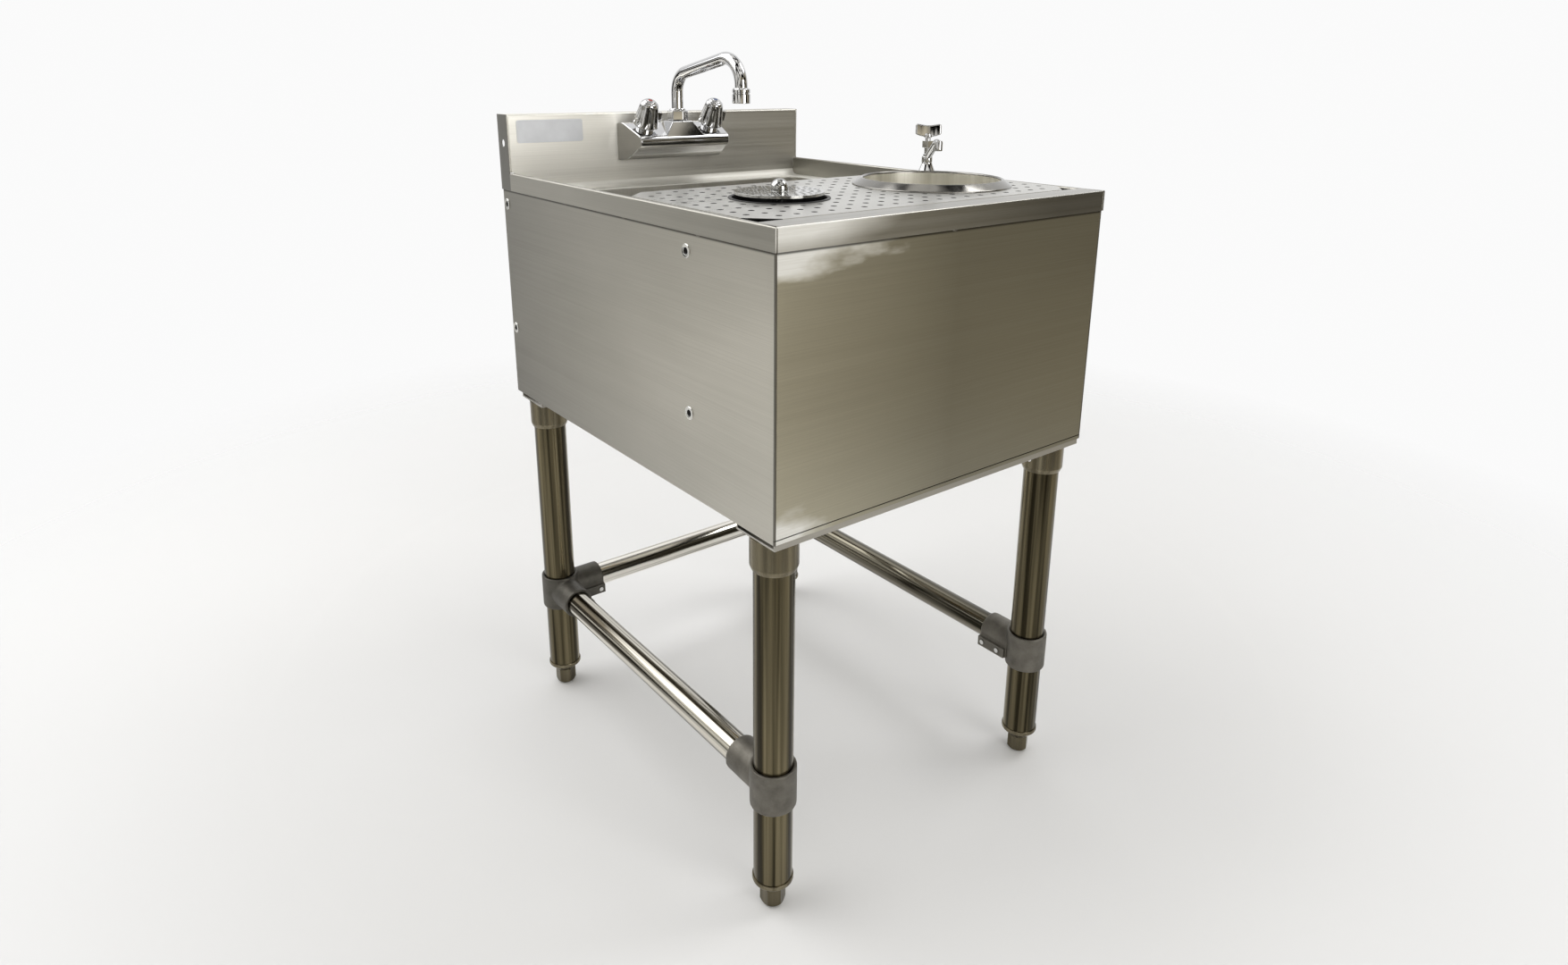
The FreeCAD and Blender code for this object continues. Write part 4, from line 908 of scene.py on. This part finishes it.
def bonnets():
    """A turned ring under each knob."""
    turn([(0, -1), (12, -1), (12, 3.4), (11.4, 4), (7.5, 4), (7.5, 4.6), (0, 4.6)], steps=48)
    settle((-VALVE_X, *valve_place()), lean=LEAN)
    ring = keep()
    for name, move in (("hot", 0), ("cold", 2 * VALVE_X)):
        bring(ring, (move, 0, 0))
        hand_over(name + "_bonnet_ring", "station", chrome, [name + "_bonnet"])


def knobs():
    """Tapered knobs with eight flutes, a pointer tab to the right and a domed index cap."""
    radius, height, pitch = 15.8, 0.0, 360 / 8
    seat, cap_seat, cap_rise, dye_radius = 4.8, 37.8, 2.5, 2.6
    tab_start, tab_end, tab_half, tab_foot, tab_rise = 4, 21.4, 3.8, 3, 18.5
    levels = [(16.6, 0.8), (16.6, 2.2), (16.2, 4.5), (15.3, 10), (14.0, 17), (12.9, 23), (12.3, 26.5),
              (11.9, 28.6), (11.4, 30.4), (10.5, 31.8), (9.4, 32.6), (8.4, 33)]
    flat_ring(96, radius, fill="NGON")
    for wide, high in levels:
        pull_face(0, 0, high - height)
        swell(wide / radius, (0, 0, high))
        radius, height = wide, high
    tidy_mesh()
    for reach, share in ((13.5, 0.945), (10.0, 0.945), (6.0, 0.95)):
        def in_flute(x, y, z):
            turned_by = (math.degrees(math.atan2(y, x)) + pitch / 2) % pitch - pitch / 2 + 0.01
            return math.hypot(x, y) > 6 and 3.5 < z < 27 and abs(abs(turned_by) - pitch / 2) < reach
        choose("VERT", in_flute)
        swell(share)
    grip = settle()
    flat_sheet(tab_start, tab_end, -tab_half, tab_half, tab_foot)
    pull_face(0, 0, tab_rise)
    tidy_mesh()
    choose("FACE", lambda x, y, z: x > tab_end - 0.4)
    stretch(1, 0.7, 0.78, (tab_end, 0, tab_foot + 5))
    soften(1.3, sharp=30)
    settle()
    join_with(grip)
    settle((-VALVE_X, *valve_place(seat)), lean=LEAN)
    knob = keep()
    turn([(0, cap_rise), (3.1, 2.4), (3.5, 1.9), (4.1, 1.9), (4.6, 2.2), (6.6, 1.9), (8.0, 1.0), (8.5, 0),
          (0, 0)], steps=48)
    settle((-VALVE_X, *valve_place(cap_seat)), lean=LEAN)
    cap = keep()
    for name, move, dye in (("hot", 0, index_red), ("cold", 2 * VALVE_X, index_blue)):
        bring(knob, (move, 0, 0))
        hand_over(name + "_fluted_knob", name + "_knob", chrome, [name + "_knob"], sharp=40)
        bring(cap, (move, 0, 0))
        piece = hand_over(name + "_cap", name + "_knob", [chrome, dye],
                          [name + "_index_cap"])
        top = Vector((-VALVE_X + move, *valve_place(cap_seat + cap_rise)))
        second_finish(piece, lambda middle, normal: (middle - top).length < dye_radius)


def spout_tube():
    """The gooseneck: a riser, a tight bend, a rising run and a bend down to the aerator, with its nut."""
    climb = math.radians(10.5)
    low, high, tube_radius, foot_z = 26.0, 33.0, 8.0, 792.0
    corner_z, tip_y, end_z = 847.4, 81.0, 833.0
    nut_z, nut_across, nut_high = 796, 25, 13
    way = (-math.cos(climb), math.sin(climb))
    bend_z = corner_z - low * math.tan((math.pi / 2 - climb) / 2)
    start = (SPOUT_Y - low + low * math.sin(climb), bend_z + low * math.cos(climb))
    run = (start[0] - tip_y - high - high * math.sin(climb)) / math.cos(climb)
    top = (start[0] + run * way[0], start[1] + run * way[1])
    centre = (top[0] - high * math.sin(climb), top[1] - high * math.cos(climb))
    flat_ring(36, tube_radius, (0, SPOUT_Y, foot_z))
    pull_edges(0, 0, bend_z - foot_z)
    bpy.ops.mesh.spin(steps=14, angle=math.pi / 2 - climb, center=at(0, SPOUT_Y - low, bend_z),
                      axis=(-1, 0, 0))
    pull_edges(0, way[0] * run, way[1] * run)
    bpy.ops.mesh.spin(steps=20, angle=math.pi / 2 + climb, center=at(0, *centre), axis=(-1, 0, 0))
    pull_edges(0, 0, end_z - 2 - centre[1])
    bpy.ops.mesh.edge_face_add()
    tidy_mesh()
    hand_over("spout_tube", "spout", chrome, ["spout"])
    turn([(0, -14.5), (8.6, -14.5), (8.6, -17.8), (8.9, -18), (10.8, -18), (11.3, -17.4), (11.3, -7.4),
          (10.3, -6.6), (10.3, -5.4), (11.1, -4.8), (11.1, -1.6), (9.6, 0), (0, 0)], (0, tip_y), 48, end_z)
    hand_over("aerator_cup", "spout", chrome, ["aerator"])
    free_hand()
    bpy.ops.mesh.primitive_cylinder_add(vertices=6, radius=nut_across * MM / math.sqrt(3),
                                        depth=nut_high * MM, location=at(0, SPOUT_Y, nut_z))
    soften(1.4, sharp=40)
    nut = settle()
    turn([(8.2, 5), (11.2, 5), (11.2, 7.2), (10.2, 8.8), (8.6, 9), (8.2, 8.6), (8.2, 5)], (0, SPOUT_Y), 40,
         nut_z)
    settle()
    join_with(nut)
    hand_over("hex_spout_nut", "station", chrome, ["spout_nut"])


# Drainboard
def rinser_and_well():
    """The black rinser cup, and the round well with its bevelled rim."""
    turn([(8, -24.05), (50.2, -24.05), (50.2, 0), (52.5, 0), (52.5, 0.55), (52.1, 0.85), (49.0, 0.85),
          (48.7, 0.55), (48.7, -22.05), (8, -22.05), (8, -24.05)], RINSER, 96, ON_PANEL)
    hand_over("black_rinser_cup", "panel", rinser_black, ["rinser_cup"])
    bend, bend_from, bend_z = 30, 48.5, 641
    wall = arc((bend_from, bend_z), bend, -90, 0, 10)
    shell = arc((bend_from, bend_z), bend + SHEET, 0, -90, 10)
    rim = [(78.5, 5.55), (78.7, 6.95), (79.4, 7.75), (80.4, 7.95), (81.4, 7.65), (90.4, 1.55), (90.9, 0.95),
           (91, 0.25), (90.8, 0), (79.7, 0)]
    raised_rim = [(radius, ON_PANEL + rise) for radius, rise in rim]
    turn([(0, bend_z - bend), *wall, *raised_rim, *shell, (0, bend_z - bend - SHEET)], WELL, 128)
    piece = hand_over("round_well", "panel", [lit_well_steel, shaded_well_rim], ["well_bowl"])
    # The rim takes the darker copy and the inside the lighter one: painted shade and painted light.
    second_finish(piece, lambda middle, normal: middle.z > RIM - 0.5)


def drainboard():
    """The perforated panel, with the walls of its holes painted dark as shade."""
    low, high = (corner / MM for corner in map(Vector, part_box("drainboard_panel")))
    margin = 2
    piece = traced_piece("drainboard_panel", [panel_steel, painted_hole_shade], 0.2, 1, "panel")

    def in_hole(middle, normal):
        inside = all(low[axis] + margin < middle[axis] < high[axis] - margin for axis in (0, 1))
        return inside and abs(normal.z) < 0.5

    second_finish(piece, in_hole)


def spray_disc():
    """The rinser's pressed disc, a little clear of the cup's black lip."""
    trace("rinser_disc")
    tidy_mesh()
    swell(0.955, (*RINSER, 0))
    hand_over("spray_disc", "rinser", rinser_bright, ["rinser_disc"], 0.3, 2)


def tap_set():
    """The small tap: a conical base, a butterfly handle and a rising arm with a nozzle."""
    arm_lean, arm_radius, run, bend, arm_z = math.radians(39.3), 4.5, 30.5, 4.5, 750
    wing_half, wing_thick, wing_foot, wing_rise = 16, 3.6, 776, 16
    turn([(0, -26.05), (6, -26.05), (6, 0), (12, 0), (12.2, 0.95), (11.8, 2.15), (9.2, 7.95), (7.4, 12.45),
          (6.6, 14.95), (6.6, 15.75), (4.4, 15.95), (4.4, 23.55), (5.4, 23.95), (5.4, 25.35), (4.0, 26.35),
          (4.0, 32.95), (4.6, 33.95), (0, 33.95)], TAP, 48, ON_PANEL)
    hand_over("tap_base", "panel", chrome, ["tap_body"])
    flat_ring(28, arm_radius)
    bpy.ops.transform.rotate(value=-(math.pi / 2 - arm_lean), orient_axis="X", center_override=(0, 0, 0))
    way = (-math.cos(arm_lean), math.sin(arm_lean))
    pull_edges(0, way[0] * run, way[1] * run)
    centre = (way[0] * run - bend * math.sin(arm_lean), way[1] * run - bend * math.cos(arm_lean))
    bpy.ops.mesh.spin(steps=12, angle=math.pi / 2 + arm_lean, center=at(0, *centre), axis=(-1, 0, 0))
    pull_edges(0, 0, -4)
    bpy.ops.mesh.edge_face_add()
    tidy_mesh()
    arm = settle()
    turn([(0, -3.6), (3.4, -3.6), (3.4, -5), (4.6, -5), (5.0, -4.4), (5.0, 5.0), (4.4, 7.0), (0, 7.6)],
         (0, centre[0] - bend), 32, centre[1])
    nozzle = settle()
    turn([(4.7, -5), (6.4, -5), (6.8, -4.4), (6.8, 1.6), (6.3, 2.4), (4.7, 2.4), (4.7, -5)], steps=48)
    settle()
    join_with(arm, nozzle)
    settle((*TAP, arm_z), aim=-TAP_AIM)
    hand_over("tap_arm", "tap_spout", chrome, ["tap_spout"])
    flat_sheet(-wing_half, wing_half, -wing_thick, wing_thick, wing_foot)
    for x in (-13.5, -9, -4.5, 0, 4.5, 9, 13.5):
        score((x, 0, 0), (1, 0, 0))
    all_of_it()
    pull_face(0, 0, wing_rise)
    tidy_mesh()
    wing_middle = wing_foot + wing_rise / 2
    for x, thin, drop, lift in ((0, 0.62, -2.0, 0), (4.5, 0.66, -1.7, 0), (9, 0.8, -0.9, 0.8),
                                (13.5, 1.0, -0.2, 2.2), (wing_half, 0.9, -0.6, 3.2)):
        choose("VERT", lambda px, py, pz: near(abs(px), x))
        stretch(1, thin, 1)
        choose("VERT", lambda px, py, pz: near(abs(px), x) and pz > wing_middle)
        slide(0, 0, drop)
        choose("VERT", lambda px, py, pz: near(abs(px), x) and pz < wing_middle)
        slide(0, 0, lift)
    soften(1.5, sharp=40)
    wings = settle()
    turn([(0, -6), (3.4, -6), (3.4, -1.5), (5.0, -0.5), (5.4, 1), (4.6, 4), (0, 4)], steps=36,
         height=wing_foot)
    settle()
    join_with(wings)
    settle((*TAP, 0), aim=HANDLE_TURN)
    hand_over("butterfly_handle", "tap_handle", chrome, ["tap_handle"], sharp=40)


# All pieces
rim_and_deck()
backsplash_sheet()
weld_bead()
corner_weld()
tack_welds()
plate_on_splash()
# The left end cap takes a darker copy of the steel than the right one: painted shade.
for end, end_finish in (("left", left_end_shaded_steel), ("right", splash_steel)):
    traced_piece("backsplash_end_" + end, end_finish, 0.4)
    traced_piece(end + "_apron", side_steel, 0.5)
front_sheet()
for row in ("front", "rear"):
    traced_piece(row + "_channel", hidden_steel, 0.5)
traced_piece("sink_bowl", bowl_steel, 0.0)
side_inserts()
leg_set()
rails()
rail_castings()
screw_feet()
faucet_casting()
bonnets()
knobs()
spout_tube()
drainboard()
rinser_and_well()
spray_disc()
tap_set()
traced_piece("packing_nut", chrome, 0.5, body="panel")
traced_piece("drain_flange", hidden_steel, 0.5)

# Camera at the photograph's place and angle
camera = bpy.data.objects.new("camera", bpy.data.cameras.new("camera"))
scene.collection.objects.link(camera)
scene.camera = camera
CAMERA_PLACE, SENSOR = (-710.91, -913.58, 848.6), 36.0
FOCAL, MIDDLE_X, MIDDLE_Y, PICTURE = 1081.94, 875.56, 400.0, (1755, 1080)
AZIMUTH, ELEVATION, ROLL = math.radians(38.0), math.radians(16.28), math.radians(-0.38)
ahead = Vector((math.sin(AZIMUTH) * math.cos(ELEVATION), math.cos(AZIMUTH) * math.cos(ELEVATION),
                -math.sin(ELEVATION)))
across = Vector((math.cos(AZIMUTH), -math.sin(AZIMUTH), 0))
below = ahead.cross(across)
rolled_across = across * math.cos(ROLL) + below * math.sin(ROLL)
rolled_below = below * math.cos(ROLL) - across * math.sin(ROLL)
camera.matrix_world = Matrix.Translation(at(*CAMERA_PLACE)) @ Matrix(
    (rolled_across, -rolled_below, -ahead)).transposed().to_4x4()
camera.data.sensor_width = SENSOR
camera.data.lens = SENSOR * FOCAL / PICTURE[0]
camera.data.shift_x = (PICTURE[0] / 2 - MIDDLE_X) / PICTURE[0]
camera.data.shift_y = (MIDDLE_Y - PICTURE[1] / 2) / PICTURE[0]
camera.data.clip_start = 0.05

# Floor, world and lamps
scene.view_settings.view_transform = "Standard"
FLOOR_MIDDLE, FLOOR_RADIUS = (0.15, 0.2, 0), 1.9
FADE_START, FADE_END = 0.75, 1.75
free_hand()
bpy.ops.mesh.primitive_circle_add(vertices=128, radius=FLOOR_RADIUS, fill_type="NGON", location=FLOOR_MIDDLE)
floor = bpy.context.object
floor.name = "floor"
floor_finish = Finish("floor_skin", (0.8, 0.8, 0.8), 0.0, 0.6)
floor_clouds = floor_finish.grain((3, 3, 3), 2.0, 0.5)
floor_finish.show("Roughness", floor_finish.between(floor_clouds, 0.55, 0.7))
reach = floor_finish.add("ShaderNodeVectorMath", operation="LENGTH")
floor_finish.feed(floor_finish.place, reach.inputs[0])
floor_finish.show("Alpha", floor_finish.between(reach.outputs["Value"], 1.0, 0.0, FADE_START, FADE_END))
floor.data.materials.append(floor_finish.material)

# The room: white at the back, a lit wall to the left and a lit ceiling, dim and brown behind the camera,
# and broken into dark and lit things that polished metal shows
ROOM_DARK, ROOM_LIGHT = (0.06, 0.052, 0.036), (0.38, 0.34, 0.255)
WALL, CEILING, PALE = (0.52, 0.51, 0.48), (0.62, 0.61, 0.585), (0.96, 0.96, 0.96)
ROOM_PATCHES, ROOM_THINGS, THING_LIGHT = (2.6, 2.6, 2.6), (5.0, 5.0, 5.0), 1.85
TO_WALL, TO_CEILING, TO_BACK = (-0.98, 0.2, 0), (0, 0, 1), (math.sin(AZIMUTH), math.cos(AZIMUTH), 0)
scene.world = bpy.data.worlds.new("room")
scene.world.use_nodes = True
room = Nodes(scene.world.node_tree, "Generated")


def toward(direction, start, end):
    """From zero to one as a ray turns towards a direction."""
    return room.between(room.along(direction), 0.0, 1.0, start, end, "SMOOTHSTEP")


view = room.tint(room.grain(ROOM_PATCHES, 2.0, 0.5), ROOM_DARK, ROOM_LIGHT, 0.38, 0.62)
view = room.blend(toward(TO_WALL, 0.25, 0.8), view, WALL)
view = room.blend(toward(TO_CEILING, 0.38, 0.66), view, CEILING)
broken = room.add("ShaderNodeVectorMath", operation="MULTIPLY")
room.feed(view, broken.inputs[0])
room.feed(room.between(room.grain(ROOM_THINGS, 2.0, 0.5), 0.0, THING_LIGHT, 0.48, 0.535), broken.inputs[1])
view = room.blend(toward(TO_BACK, 0.3, 0.72), broken.outputs["Vector"], PALE)
rays = room.add("ShaderNodeLightPath").outputs
seen = room.sum_of("MAXIMUM", rays["Is Camera Ray"], rays["Is Transmission Ray"])
view = room.blend(seen, view, PALE)
background = room.tree.nodes["Background"]
room.feed(view, background.inputs["Color"])
background.inputs["Strength"].default_value = 1.0


def soft_lamp(name, place, aim, size, power):
    """A large square lamp that faces a point."""
    lamp = bpy.data.objects.new(name, bpy.data.lights.new(name, "AREA"))
    scene.collection.objects.link(lamp)
    lamp.data.size = size
    lamp.data.energy = power
    lamp.location = place
    lamp.rotation_euler = (Vector(aim) - Vector(place)).to_track_quat("-Z", "Y").to_euler()


soft_lamp("top_softbox", (-1.5, 1.5, 2.7), (0, 0, 0.3), 3.0, 60)
soft_lamp("front_window", (0.2, -2.5, 1.1), (0, 0, 0.7), 1.3, 19)
soft_lamp("ceiling_lamp", (1.5, -0.6, 2.5), (0, 0.2, 0.7), 1.0, 15)
